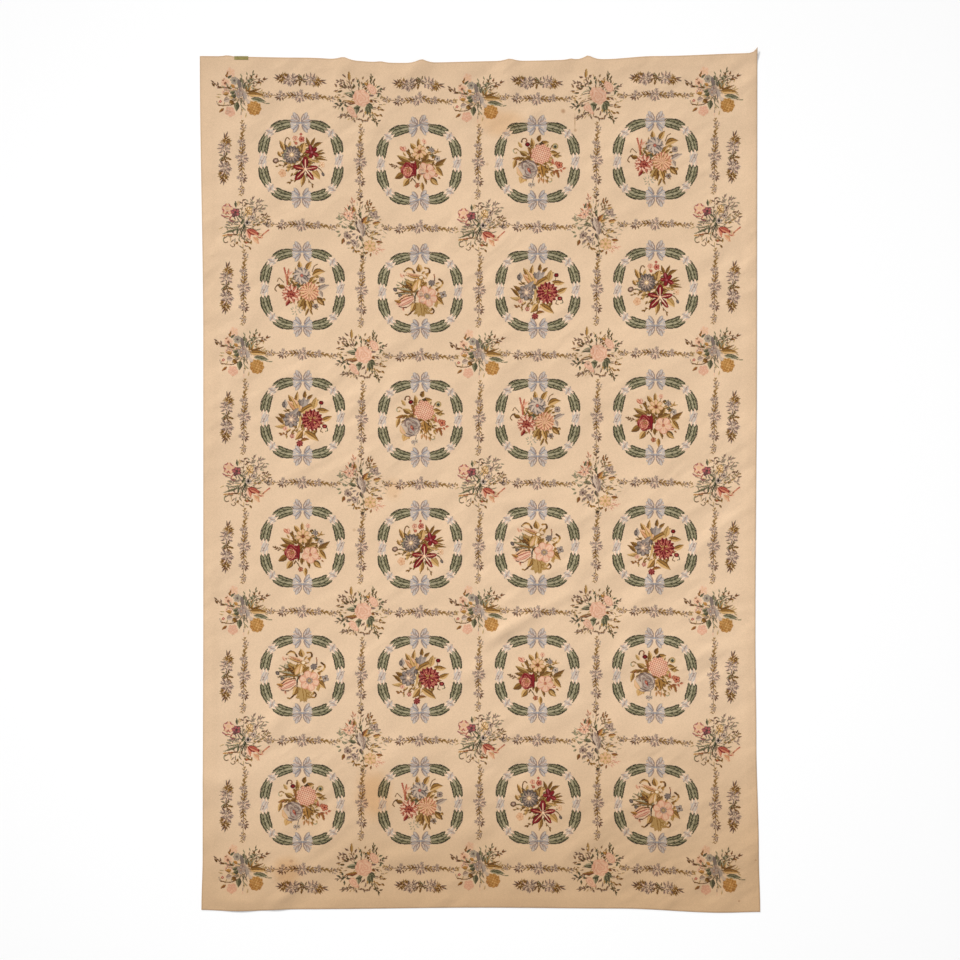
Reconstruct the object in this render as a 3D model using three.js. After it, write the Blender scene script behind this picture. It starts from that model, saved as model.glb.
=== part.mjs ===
// Needlepoint rug: one sheet of stitched canvas with its hem turned under, lying flat, and a short blank
// tape sewn to its face at the top edge.
// Millimetres, +Z up, +X across the rug and +Y towards the top of its design. The origin is the middle of
// the rug's bounding box, on the surface that the rug lies on.

import * as THREE from "three";
import { mergeVertices } from "three/addons/utils/BufferGeometryUtils.js";

// Driving dimensions of the sheet
const rugWidth = 3570; // between the long edges, where they run straight
const rugLength = 5490; // between the short edges
const sheetThickness = 3; // wool stitches, canvas and turned hem together
const columnCount = 40; // cells across the sheet
const rowCount = 42; // cells along the sheet

// Driving dimensions of the sewn tape
const tapeWidth = 90;
const tapeDepth = 24; // from the rug's edge inwards
const tapeThickness = 1;
const tapeAt = -1537; // its middle, across the rug
const tapeInset = 16; // from the nominal top edge to the tape's own edge, where the rug's edge sags
const restingGap = 0.3; // between the tape and the stitches under it

// How far each edge stands outside its nominal line (out), at places along that edge (at)
const leftEdge = [
  { at: -2745, out: 9 },
  { at: -2400, out: 1 },
  { at: -770, out: -3 },
  { at: 900, out: -3 },
  { at: 2745, out: 19 },
];
const rightEdge = [
  { at: -2745, out: 19 },
  { at: -2380, out: 10 },
  { at: -1650, out: -6 },
  { at: -1000, out: -12 },
  { at: 900, out: -2 },
  { at: 2745, out: 0 },
];
const bottomEdge = [
  { at: -1804, out: 23 },
  { at: -1570, out: 31 },
  { at: -1130, out: 18 },
  { at: 0, out: 8 },
  { at: 900, out: 14 },
  { at: 1560, out: 41 },
  { at: 1804, out: 36 },
];
const topEdge = [
  { at: -1804, out: -15 },
  { at: -1160, out: -25 },
  { at: -510, out: -59 },
  { at: 230, out: -46 },
  { at: 790, out: -35 },
  { at: 1130, out: -15 },
  { at: 1785, out: 4 },
];

// Points where the top edge was held up: the cloth rises to a soft peak, and the last is an ear at the corner
const heldPoints = [
  { at: -1627, rise: 9, reach: 60 },
  { at: -880, rise: 20, reach: 90 },
  { at: -640, rise: 8, reach: 70 },
  { at: -376, rise: 24, reach: 90 },
  { at: 192, rise: 16, reach: 90 },
  { at: 585, rise: 8, reach: 70 },
  { at: 696, rise: 27, reach: 85 },
  { at: 1785, rise: 37, reach: 45 },
];
const earWidth = 42; // of the pointed corner, along the top edge
const lowestPoint = 1560; // where the bottom edge hangs lowest

// Soft folds: the middle of each (x, y), half its length (run), half its width (reach), its height (lift) and
// the direction that it runs in, in degrees from +X (turn)
const folds = [
  { x: -880, y: 2560, run: 260, reach: 95, lift: 8, turn: 90 },
  { x: -410, y: 2640, run: 220, reach: 90, lift: 8, turn: 47 },
  { x: 192, y: 2570, run: 250, reach: 95, lift: 7, turn: 90 },
  { x: 696, y: 2540, run: 300, reach: 100, lift: 10, turn: 88 },
  { x: 1790, y: 2782, run: 110, reach: 80, lift: 14, turn: 45 },
  { x: 182, y: -941, run: 270, reach: 95, lift: 10, turn: 35 },
  { x: -56, y: -1243, run: 200, reach: 90, lift: 7, turn: 38 },
  { x: 1097, y: -690, run: 220, reach: 90, lift: 6, turn: 35 },
  { x: 1438, y: -1128, run: 220, reach: 90, lift: 7, turn: 35 },
  { x: 1296, y: -1598, run: 180, reach: 90, lift: 6, turn: -38 },
  { x: -1350, y: -1585, run: 240, reach: 90, lift: 8, turn: 46 },
  { x: -590, y: -1797, run: 200, reach: 85, lift: 6, turn: 42 },
  { x: -436, y: -2422, run: 260, reach: 85, lift: 8, turn: 8 },
  { x: -56, y: -2280, run: 220, reach: 90, lift: 7, turn: 30 },
  { x: 556, y: -1514, run: 200, reach: 90, lift: 5, turn: 30 },
  { x: 646, y: -2364, run: 220, reach: 90, lift: 6, turn: 28 },
  { x: -1718, y: -1945, run: 150, reach: 85, lift: 6, turn: 0 },
  { x: -1621, y: -2699, run: 230, reach: 90, lift: 10, turn: -26 },
  { x: -1280, y: -2699, run: 160, reach: 85, lift: 8, turn: 50 },
];

// Colours and finishes
const creamWool = { color: 0xe3c7a0, roughness: 0.95, metalness: 0 };
const oliveTape = { color: 0x998a4c, roughness: 0.85, metalness: 0 };

// How far out an edge stands at a place: eased smoothly from each row of its table to the next.
function edgeOut(rows, place) {
  const first = rows[0];
  const last = rows[rows.length - 1];
  if (place <= first.at) return first.out;
  if (place >= last.at) return last.out;
  const next = rows.findIndex((row) => row.at >= place);
  const { at: from, out: outFrom } = rows[next - 1];
  const { at: to, out: outTo } = rows[next];
  return THREE.MathUtils.lerp(outFrom, outTo, THREE.MathUtils.smoothstep(place, from, to));
}

// How far the held points lift the top edge at a place: each is a peak that falls away on both sides.
function heldRise(place) {
  return heldPoints.reduce((sum, { at, rise, reach }) => {
    const away = Math.min(1, Math.abs(place - at) / reach);
    return sum + rise * (1 - away) ** 2;
  }, 0);
}

// A soft bump that is 1 in the middle and falls smoothly to 0 one unit away.
function bump(away) {
  return Math.abs(away) < 1 ? (1 - away * away) ** 2 : 0;
}

// Height of the cloth's underside over the floor: the sum of the folds that cross the place.
function clothLift(x, y) {
  return folds.reduce((sum, fold) => {
    const turn = THREE.MathUtils.degToRad(fold.turn);
    const along = (x - fold.x) * Math.cos(turn) + (y - fold.y) * Math.sin(turn);
    const aside = (y - fold.y) * Math.cos(turn) - (x - fold.x) * Math.sin(turn);
    return sum + fold.lift * bump(along / fold.run) * bump(aside / fold.reach);
  }, 0);
}

// A place on the rug from its shares across and along the sheet, each from 0 to 1.
function rugPlace(across, along) {
  const halfWidth = rugWidth / 2;
  const halfLength = rugLength / 2;
  const level = THREE.MathUtils.lerp(-halfLength, halfLength, along);
  const left = -halfWidth - edgeOut(leftEdge, level);
  const right = halfWidth + edgeOut(rightEdge, level);
  const x = THREE.MathUtils.lerp(left, right, across);
  const bottom = -halfLength - edgeOut(bottomEdge, x);
  const top = halfLength + edgeOut(topEdge, x) + heldRise(x);
  return { x, y: THREE.MathUtils.lerp(bottom, top, along) };
}

// Shares across the sheet of its mesh columns: even, with the nearest column moved onto each place where the
// edge peaks.
function columnShares() {
  const shares = Array.from({ length: columnCount + 1 }, (_, i) => i / columnCount);
  const peaks = heldPoints.map((point) => point.at).concat(rugWidth / 2 - earWidth, lowestPoint);
  for (const peak of peaks) {
    const share = THREE.MathUtils.clamp(peak / rugWidth + 0.5, 0, 1);
    const nearest = Math.round(share * columnCount);
    const inner = nearest > 0 && nearest < columnCount;
    if (inner) shares[nearest] = share;
  }
  shares[columnCount - 1] = 1 - earWidth / rugWidth;
  return shares;
}

// The rug's sheet: a box of cells whose points are moved onto the outline and the folds.
function rugGeometry() {
  const box = new THREE.BoxGeometry(1, 1, 1, columnCount, rowCount, 1);
  box.deleteAttribute("normal");
  box.deleteAttribute("uv");
  const sheet = mergeVertices(box);
  const points = sheet.getAttribute("position");
  const shares = columnShares();
  for (let i = 0; i < points.count; i += 1) {
    const across = shares[Math.round((points.getX(i) + 0.5) * columnCount)];
    const along = points.getY(i) + 0.5;
    const { x, y } = rugPlace(across, along);
    const ply = points.getZ(i) > 0 ? sheetThickness : 0;
    points.setXYZ(i, x, y, clothLift(x, y) + ply);
  }
  sheet.computeBoundingBox();
  const middle = sheet.boundingBox.getCenter(new THREE.Vector3());
  sheet.translate(-middle.x, -middle.y, 0);
  sheet.computeVertexNormals();
  return sheet;
}

// A named mesh with a material of its own.
function namedMesh(name, geometry, finish) {
  const mesh = new THREE.Mesh(geometry, new THREE.MeshStandardMaterial(finish));
  mesh.name = name;
  return mesh;
}

// The blank tape, laid on the rug's face along the top edge.
function sewnTape() {
  const tape = namedMesh(
    "edge_tape",
    new THREE.BoxGeometry(tapeWidth, tapeDepth, tapeThickness),
    oliveTape,
  );
  const edge = rugLength / 2 - tapeInset;
  tape.position.set(
    tapeAt,
    edge - tapeDepth / 2,
    sheetThickness + restingGap + tapeThickness / 2,
  );
  return tape;
}

const rug = new THREE.Group();
rug.add(namedMesh("needlepoint_rug", rugGeometry(), creamWool));
rug.add(sewnTape());

export default rug;
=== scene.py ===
import bpy
import numpy as np
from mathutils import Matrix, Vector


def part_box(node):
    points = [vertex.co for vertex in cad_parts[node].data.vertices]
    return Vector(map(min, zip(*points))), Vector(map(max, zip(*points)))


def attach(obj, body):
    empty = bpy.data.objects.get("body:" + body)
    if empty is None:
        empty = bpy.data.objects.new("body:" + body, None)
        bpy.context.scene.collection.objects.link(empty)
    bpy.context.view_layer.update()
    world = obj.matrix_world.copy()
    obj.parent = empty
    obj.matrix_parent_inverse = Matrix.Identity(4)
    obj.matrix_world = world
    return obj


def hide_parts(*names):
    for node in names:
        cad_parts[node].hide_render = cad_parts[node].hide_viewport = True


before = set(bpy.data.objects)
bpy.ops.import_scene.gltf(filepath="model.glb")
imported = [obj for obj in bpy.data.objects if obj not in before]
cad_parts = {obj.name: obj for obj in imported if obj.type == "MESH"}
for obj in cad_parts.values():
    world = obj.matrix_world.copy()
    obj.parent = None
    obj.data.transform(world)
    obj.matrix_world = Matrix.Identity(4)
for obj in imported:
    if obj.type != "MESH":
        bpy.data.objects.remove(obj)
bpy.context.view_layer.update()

# The sheet, as in the rug's solid, in metres
sheet = {
    "width": 3.570,  # between the long edges, where they run straight
    "length": 5.490,  # between the short edges
    "thickness": 0.003,
    "hem": 0.075,  # turned under along every edge
    "hemStep": 0.007,  # over which the face comes down from the hem
    "ply": 0.0008,  # how much lower the face lies inside the hem
    "columns": 150,  # even cells of the fine mesh
    "rows": 226,
    "rimLines": [0.0004, 0.0012, 0.003, 0.006, 0.012, 0.025, 0.05],  # finer ones, this far from each edge
    "rimBand": 0.1,  # in which the even lines are left out
    "stitch": 0.00322,  # from one stitch to the next
    "hover": 0.0003,  # of the coloured wool over the ground's surface
}

# How far each edge stands outside its nominal line (out), at places along that edge (at)
leftEdge = [(-2.745, 0.009), (-2.400, 0.001), (-0.770, -0.003), (0.900, -0.003), (2.745, 0.019)]
rightEdge = [
    (-2.745, 0.019), (-2.380, 0.010), (-1.650, -0.006), (-1.000, -0.012), (0.900, -0.002), (2.745, 0),
]
bottomEdge = [
    (-1.804, 0.023), (-1.570, 0.031), (-1.130, 0.018), (0, 0.008), (0.900, 0.014), (1.560, 0.041),
    (1.804, 0.036),
]
topEdge = [
    (-1.804, -0.015), (-1.160, -0.025), (-0.510, -0.059), (0.230, -0.046), (0.790, -0.035), (1.130, -0.015),
    (1.785, 0.004),
]

# Points where the top edge was held up: place along it, rise of the soft peak, and its reach to each side.
# The last one is the pointed corner.
heldPoints = [
    (-1.627, 0.009, 0.060), (-0.880, 0.020, 0.090), (-0.640, 0.008, 0.070), (-0.376, 0.024, 0.090),
    (0.192, 0.016, 0.090), (0.585, 0.008, 0.070), (0.696, 0.027, 0.085), (1.785, 0.037, 0.045),
]

# Soft folds: middle (x, y), half length, half width, height and direction in degrees from +X
folds = [
    (-0.880, 2.560, 0.260, 0.095, 0.008, 90),
    (-0.410, 2.640, 0.220, 0.090, 0.008, 47),
    (0.192, 2.570, 0.250, 0.095, 0.007, 90),
    (0.696, 2.540, 0.300, 0.100, 0.010, 88),
    (1.790, 2.782, 0.110, 0.080, 0.014, 45),
    (0.182, -0.941, 0.270, 0.095, 0.010, 35),
    (-0.056, -1.243, 0.200, 0.090, 0.007, 38),
    (1.097, -0.690, 0.220, 0.090, 0.006, 35),
    (1.438, -1.128, 0.220, 0.090, 0.007, 35),
    (1.296, -1.598, 0.180, 0.090, 0.006, -38),
    (-1.350, -1.585, 0.240, 0.090, 0.008, 46),
    (-0.590, -1.797, 0.200, 0.085, 0.006, 42),
    (-0.436, -2.422, 0.260, 0.085, 0.008, 8),
    (-0.056, -2.280, 0.220, 0.090, 0.007, 30),
    (0.556, -1.514, 0.200, 0.090, 0.005, 30),
    (0.646, -2.364, 0.220, 0.090, 0.006, 28),
    (-1.718, -1.945, 0.150, 0.085, 0.006, 0),
    (-1.621, -2.699, 0.230, 0.090, 0.010, -26),
    (-1.280, -2.699, 0.160, 0.085, 0.008, 50),
]

# Finer ripples and sharper creases between them, with the same columns
ripples = [
    (-1.20, 2.40, 0.30, 0.06, 0.0020, 84),
    (-0.10, 2.30, 0.34, 0.07, 0.0022, 96),
    (1.20, 2.45, 0.26, 0.06, 0.0020, 98),
    (0.90, 0.60, 0.40, 0.09, 0.0022, 20),
    (-0.70, 0.20, 0.36, 0.08, 0.0020, 28),
    (-1.10, -0.70, 0.34, 0.08, 0.0024, 40),
    (0.55, -0.55, 0.30, 0.08, 0.0026, 34),
    (-0.30, -1.75, 0.30, 0.07, 0.0026, 36),
    (1.05, -2.05, 0.28, 0.07, 0.0030, 32),
    (-0.95, -2.25, 0.26, 0.07, 0.0030, 30),
    (1.50, -2.55, 0.24, 0.07, 0.0030, 24),
    (0.25, -2.60, 0.26, 0.07, 0.0028, 12),
    (0.225, -0.927, 0.26, 0.045, 0.0075, 31),
    (0.535, -0.760, 0.22, 0.045, 0.0065, 28),
    (0.100, -1.020, 0.16, 0.045, 0.0030, 40),
    (0.998, -0.790, 0.18, 0.050, 0.0030, 20),
    (-0.48, -0.04, 0.24, 0.050, 0.0026, 36),
    (-0.84, 0.10, 0.20, 0.050, 0.0024, 34),
    (-1.67, -2.00, 0.14, 0.050, 0.0034, 70),
    (-1.05, -1.45, 0.24, 0.050, 0.0030, 44),
    (-0.52, -2.30, 0.24, 0.050, 0.0030, 10),
    (0.20, -2.42, 0.22, 0.050, 0.0030, 26),
    (1.20, -2.36, 0.20, 0.050, 0.0028, 30),
    (1.55, -0.60, 0.16, 0.050, 0.0026, 60),
    (-0.46, 2.62, 0.16, 0.045, 0.0040, 52),
    (0.76, 2.54, 0.16, 0.045, 0.0036, 96),
    (-0.92, 2.54, 0.16, 0.045, 0.0034, 84),
]


def edgeOut(rows, place):
    # Eased from each row of the table to the next: out = a + (b - a) * (3 t^2 - 2 t^3).
    at, out = np.array(rows, float).T
    k = np.clip(np.searchsorted(at, place) - 1, 0, len(at) - 2)
    t = np.clip((place - at[k]) / (at[k + 1] - at[k]), 0, 1)
    return out[k] + (out[k + 1] - out[k]) * t * t * (3 - 2 * t)


def heldRise(place):
    # Sum of peaks that fall away as (1 - distance / reach)^2.
    return sum(rise * (1 - np.clip(np.abs(place - at) / reach, 0, 1)) ** 2 for at, rise, reach in heldPoints)


def bump(away):
    # 1 in the middle and 0 one unit away: (1 - away^2)^2.
    return np.clip(1 - away * away, 0, 1) ** 2


def clothLift(x, y, rows):
    # Height of the underside: each fold is one bump along its run times one across it.
    lift = np.zeros_like(x)
    for foldX, foldY, run, reach, height, turn in rows:
        c, s = np.cos(np.radians(turn)), np.sin(np.radians(turn))
        along = (x - foldX) * c + (y - foldY) * s
        aside = (y - foldY) * c - (x - foldX) * s
        lift += height * bump(along / run) * bump(aside / reach)
    return lift


def rugPlace(across, along):
    # Between the wavy edges, by the shares across and along the sheet.
    level = sheet["length"] * (along - 0.5)
    left = -sheet["width"] / 2 - edgeOut(leftEdge, level)
    right = sheet["width"] / 2 + edgeOut(rightEdge, level)
    x = left + (right - left) * across
    bottom = -sheet["length"] / 2 - edgeOut(bottomEdge, x)
    top = sheet["length"] / 2 + edgeOut(topEdge, x) + heldRise(x)
    return x, bottom + (top - bottom) * along


def rimPlaces(count, length, extra=()):
    # Shares from 0 to 1: even lines, finer ones at both rims and at the hem, and any extra ones.
    fine = np.array([*sheet["rimLines"], sheet["hem"], sheet["hem"] + sheet["hemStep"]]) / length
    even = np.linspace(0, 1, count + 1)
    band = sheet["rimBand"] / length
    even = even[(even == 0) | (even == 1) | ((even > band) & (even < 1 - band))]
    return np.unique(np.concatenate([even, fine, 1 - fine, np.asarray(extra, float)]))


peakPlaces = [at / sheet["width"] + 0.5 for at, rise, reach in heldPoints[:-1]]
acrossLines = rimPlaces(sheet["columns"], sheet["width"], peakPlaces)
alongLines = rimPlaces(sheet["rows"], sheet["length"])
shareAcross, shareAlong = np.meshgrid(acrossLines, alongLines)
flatX, flatY = rugPlace(shareAcross, shareAlong)
middleX = (flatX.min() + flatX.max()) / 2
middleY = (flatY.min() + flatY.max()) / 2
groundLift = clothLift(flatX, flatY, folds) + clothLift(flatX, flatY, ripples)
sideAway = np.minimum(shareAcross, 1 - shareAcross) * sheet["width"]
rimAway = np.minimum(sideAway, np.minimum(shareAlong, 1 - shareAlong) * sheet["length"])


def plyHeight(away):
    # Height of the face over the underside: a rounded rim, then the hem, then the single canvas.
    rim = np.sqrt(np.clip(1 - (1 - np.clip(away / sheet["thickness"], 0, 1)) ** 2, 0, 1))
    step = np.clip((away - sheet["hem"]) / sheet["hemStep"], 0, 1)
    return sheet["thickness"] * (0.5 + 0.5 * rim) - sheet["ply"] * step * step * (3 - 2 * step)


groundTop = groundLift + plyHeight(rimAway)
groundUnder = groundLift + sheet["thickness"] - plyHeight(rimAway) - sheet["ply"] * (rimAway > sheet["hem"])
groundUnder = np.maximum(groundUnder, 0)


def surfaceHeight(across, along):
    # Height of the face by bilinear interpolation in the ground's own grid.
    i = np.clip(np.searchsorted(acrossLines, across) - 1, 0, len(acrossLines) - 2)
    j = np.clip(np.searchsorted(alongLines, along) - 1, 0, len(alongLines) - 2)
    u = (across - acrossLines[i]) / (acrossLines[i + 1] - acrossLines[i])
    v = (along - alongLines[j]) / (alongLines[j + 1] - alongLines[j])
    low = groundTop[j, i] * (1 - u) + groundTop[j, i + 1] * u
    high = groundTop[j + 1, i] * (1 - u) + groundTop[j + 1, i + 1] * u
    return low * (1 - v) + high * v


def listed(*parts):
    # Equal arrays side by side, as the columns of one long table.
    return np.stack(parts, -1).reshape(-1, len(parts))


def newPiece(name, points, faces, materials, maps=(), colours=None, slots=None, smooth=False):
    # A mesh object from arrays: points (n, 3), quads (m, 4) and corner maps of (4 m, 2).
    mesh = bpy.data.meshes.new(name)
    mesh.vertices.add(len(points))
    mesh.vertices.foreach_set("co", np.asarray(points, np.float32).ravel())
    mesh.loops.add(faces.size)
    mesh.loops.foreach_set("vertex_index", faces.astype(np.int32).ravel())
    mesh.polygons.add(len(faces))
    mesh.polygons.foreach_set("loop_start", np.arange(0, faces.size, 4, dtype=np.int32))
    for material in materials:
        mesh.materials.append(material)
    if slots is not None:
        mesh.polygons.foreach_set("material_index", slots.astype(np.int32))
    mesh.polygons.foreach_set("use_smooth", np.full(len(faces), smooth))
    for mapName, places in maps:
        layer = mesh.uv_layers.new(name=mapName)
        layer.uv.foreach_set("vector", np.asarray(places, np.float32).ravel())
    if colours is not None:
        wool = mesh.color_attributes.new("wool", "FLOAT_COLOR", "CORNER")
        wool.data.foreach_set("color", np.asarray(colours, np.float32).ravel())
    mesh.update(calc_edges=True)
    mesh.validate()
    piece = bpy.data.objects.new(name, mesh)
    bpy.context.scene.collection.objects.link(piece)
    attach(piece, "root")
    return piece


# Wools, as they look in daylight, from 0 to 255
wools = {
    "ground": (231, 199, 165),
    "ink": (44, 38, 28),
    "bottle": (60, 57, 40),
    "pine": (86, 81, 56),
    "sage": (128, 120, 88),
    "celadon": (168, 157, 125),
    "umber": (94, 60, 28),
    "moss": (114, 76, 32),
    "olive": (142, 102, 46),
    "straw": (180, 143, 86),
    "gold": (160, 114, 52),
    "amber": (190, 136, 72),
    "honey": (210, 167, 108),
    "cream": (240, 212, 176),
    "ivory": (246, 222, 190),
    "peach": (226, 180, 140),
    "apricot": (208, 150, 108),
    "rust": (142, 80, 46),
    "coral": (178, 92, 70),
    "salmon": (206, 132, 98),
    "blush": (222, 166, 136),
    "shell": (231, 187, 157),
    "rose": (176, 92, 80),
    "crimson": (128, 24, 28),
    "garnet": (84, 12, 12),
    "magenta": (156, 84, 88),
    "plum": (88, 60, 54),
    "mauve": (134, 107, 96),
    "lilac": (168, 142, 122),
    "pearl": (205, 180, 158),
    "sky": (174, 156, 142),
    "periwinkle": (152, 135, 124),
    "slate": (124, 108, 98),
    "navy": (86, 73, 66),
    "heather": (140, 113, 102),
    "thistle": (175, 152, 136),
    "mist": (211, 190, 173),
    "silver": (181, 174, 170),
    "steel": (158, 152, 153),
    "iron": (126, 119, 120),
}
woolNumber = {name: number for number, name in enumerate(wools)}


def daylight(*levels):
    # A linear colour from its everyday levels of 0 to 255.
    share = np.array(levels) / 255
    return (*np.where(share <= 0.04045, share / 12.92, ((share + 0.055) / 1.055) ** 2.4), 1.0)


woolColours = np.array([daylight(*wool) for wool in wools.values()])

# Sets of wools that are used together, from the darkest line to the lightest touch
tones = {
    "laurel": "bottle pine sage sage celadon",
    "laurelLight": "bottle sage celadon celadon",
    "laurelDark": "bottle pine sage",
    "leaf": "umber moss olive straw",
    "leafDark": "umber moss olive",
    "leafGold": "umber olive gold honey",
    "leafLight": "olive straw honey",
    "leafBrown": "umber rust gold",
    "twig": "umber moss",
    "pineTwig": "bottle pine sage",
    "crimsonPetal": "garnet crimson crimson rose",
}


def smoothLine(points, steps=10):
    # Points of the smooth curve (Catmull-Rom) that passes through the given ones.
    p = np.array([points[0], *points, points[-1]], float)
    t = np.linspace(0, 1, steps, endpoint=False)[:, None]
    parts = []
    for a, b, c, d in zip(p, p[1:], p[2:], p[3:]):
        curve = 2 * b + (c - a) * t + (2 * a - 5 * b + 4 * c - d) * t**2 + (3 * b - a - 3 * c + d) * t**3
        parts.append(0.5 * curve)
    return np.vstack([*parts, p[-1:]])


class Chart:
    # A needlework chart: one wool number for each stitch, and brushes that work flowers and leaves into it.
    # Places are counted in stitches from the chart's middle, to the right and up.
    def __init__(self, wide, tall):
        self.wool = np.zeros((tall, wide), np.uint8)
        rows, columns = np.mgrid[0:tall, 0:wide]
        self.x = columns + 0.5 - wide / 2
        self.y = rows + 0.5 - tall / 2

    def put(self, mask, tone, shade=0.0):
        # Each stitch under the mask takes one wool of the tone, by its shade from 0 to 1.
        numbers = np.array([woolNumber[name] for name in tones.get(tone, tone).split()], np.uint8)
        step = (np.asarray(shade) * len(numbers)).astype(int).clip(0, len(numbers) - 1)
        self.wool[mask] = np.broadcast_to(numbers[step], mask.shape)[mask]

    def turned(self, place, turn):
        # The stitches as seen from a place, turned so that the first axis points along turn degrees.
        c, s = np.cos(np.radians(turn)), np.sin(np.radians(turn))
        dx, dy = self.x - place[0], self.y - place[1]
        return dx * c + dy * s, dy * c - dx * s

    def along(self, foot, tip):
        # Share of the way from foot to tip, distance aside of that line, and where it is.
        run, rise = tip[0] - foot[0], tip[1] - foot[1]
        length = np.hypot(run, rise)
        u, v = self.turned(foot, np.degrees(np.arctan2(rise, run)))
        return np.clip(u / length, 0, 1), v, (u > -0.3) & (u < length + 0.3)

    def oval(self, place, long, wide, tone, turn=0):
        # An ellipse, shaded from its rim to its middle.
        u, v = self.turned(place, turn)
        reach = np.hypot(u / long, v / wide)
        self.put(reach < 1, tone, 1 - reach)

    def leaf(self, foot, tip, wide, tone, bend=0.0):
        # A pointed oval on a bowed line: half width = wide / 2 * sin(pi t^0.8); one side is the lighter one.
        t, v, within = self.along(foot, tip)
        half = wide / 2 * np.sin(np.pi * t**0.8) + 0.25
        side = (v - bend * 4 * t * (1 - t)) / half
        shade = np.where(np.abs(side) < 0.12, 0.0, 0.62 - 0.42 * side + 0.1 * t)
        shade = np.where(side > 0.74, 0.12, shade)
        self.put(within & (np.abs(side) < 1), tone, shade)

    def bay(self, foot, tip, wide, tone):
        # A leaf with a dark outline on both sides and a light middle.
        t, v, within = self.along(foot, tip)
        side = np.abs(v) / (wide / 2 * np.sin(np.pi * t**0.85) ** 0.8 + 0.4)
        self.put(within & (side < 1), tone, np.where(side > 0.66, 0.0, 1.05 - side - 0.25 * t))

    def petal(self, foot, tip, wide, tone, rib=""):
        # A round-ended petal, darker along its rim and at its foot, with a rib if one is named.
        t, v, within = self.along(foot, tip)
        half = wide / 2 * np.sin(np.pi * t**1.25) ** 0.7 + 0.3
        self.put(within & (np.abs(v) < half), tone, 0.95 - 0.75 * np.abs(v) / half - 0.25 * (1 - t))
        if rib:
            self.put(within & (np.abs(v) < 1.7 - 1.6 * t) & (t < 0.8), rib)

    def flower(self, place, radius, petals, tone, heart="", turn=0, deep=0.3, core=0.28, line=0.4):
        # A round flower: scalloped rim, a dark line between petals and a heart in the middle.
        u, v = self.turned(place, turn)
        phase = np.abs((np.arctan2(v, u) / (2 * np.pi) * petals) % 1 - 0.5)
        reach = np.hypot(u, v) / (radius * (1 - deep * (2 * phase) ** 2.4))
        shade = np.where((phase > line) | (reach > 0.94), 0.0, 1.08 - 0.45 * reach - 0.9 * phase)
        self.put(reach < 1, tone, shade)
        if heart:
            self.oval(place, radius * core, radius * core, heart)

    def star(self, place, radius, petals, tone, heart="", turn=0, slim=0.34, core=0.25):
        # Pointed petals round a heart: each is as wide as a sine of its own length.
        for k in range(petals):
            angle = np.radians(turn + 360 * k / petals)
            tip = (place[0] + radius * np.cos(angle), place[1] + radius * np.sin(angle))
            self.leaf(place, tip, radius * 2 * slim, tone)
        if heart:
            self.oval(place, radius * core, radius * core, heart)

    def rose(self, place, radius, tone, turn=0, swirls=2.6):
        # A full rose: a spiral of petals, each dark inside and light at its outer lip.
        u, v = self.turned(place, turn)
        angle = np.arctan2(v, u) / (2 * np.pi)
        reach = np.hypot(u, v) / (radius * (1 + 0.07 * np.sin(5 * 2 * np.pi * angle)))
        swirl = (swirls * reach**0.85 - 2 * angle + 0.35 * np.sin(6 * np.pi * angle)) % 1
        shade = 0.15 + 0.95 * swirl * (0.45 + 0.55 * reach)
        self.put(reach < 1, tone, np.where(reach > 0.95, 0.3, shade))

    def mum(self, place, radius, rays, tone, rings=3.0):
        # A ragged flower of many narrow petals: rays that change with each ring.
        u, v = self.turned(place, 0)
        angle, away = np.arctan2(v, u), np.hypot(u, v)
        reach = away / (radius * (1 + 0.09 * np.sin(rays * angle)))
        ring = np.floor(reach * rings)
        count = np.round(rays * (0.6 + 0.2 * ring))
        shade = 0.5 + 0.5 * np.sin(count * angle + 2.1 * ring) * (0.6 + 0.4 * reach)
        self.put(reach < 1, tone, shade)

    def ball(self, place, radius, tone, grain=1.15):
        # A head of many florets, light where two waves cross.
        u, v = self.turned(place, 24)
        away = np.hypot(u, v) / radius
        florets = np.sin(u * grain) * np.sin(v * grain) + 0.35 * np.sin((u + v) * grain * 1.7)
        self.put(away < 1 + 0.06 * np.sin(9 * np.arctan2(v, u)), tone, 0.55 + 0.42 * florets - 0.15 * away)

    def line(self, points, wide, tone):
        # A line of even width along the smooth curve through the points, shaded from its start to its end.
        curve = smoothLine(points)
        away = np.hypot(self.x[..., None] - curve[:, 0], self.y[..., None] - curve[:, 1])
        at = away.argmin(-1) / (len(curve) - 1)
        self.put(away.min(-1) < wide / 2, tone, at)

    def twig(self, points, leaves, long, wide, tone, stem="umber", spread=42):
        # A stem with small leaves on alternate sides and one at its end.
        self.line(points, 1.3, stem)
        curve = smoothLine(points)
        for k in range(leaves):
            share = 0.2 + 0.8 * k / max(1, leaves - 1)
            i = min(len(curve) - 2, int(share * (len(curve) - 1)))
            ahead = curve[i + 1] - curve[i]
            turn = np.degrees(np.arctan2(ahead[1], ahead[0]))
            turn += 0 if k == leaves - 1 else (spread if k % 2 else -spread)
            self.sprig(curve[i], turn, long, wide, tone)

    def sprig(self, foot, turn, long, wide, tone):
        # One small leaf from its foot, pointing along turn degrees.
        angle = np.radians(turn)
        self.leaf(foot, (foot[0] + long * np.cos(angle), foot[1] + long * np.sin(angle)), wide, tone)

    def leaves(self, rows, long, wide, tone):
        # Small loose leaves: the foot and direction of each.
        for x, y, turn in rows:
            self.sprig((x, y), turn, long, wide, tone)

    def thicket(self, place, reach, inner, count, long, wide, tone, seed):
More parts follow.
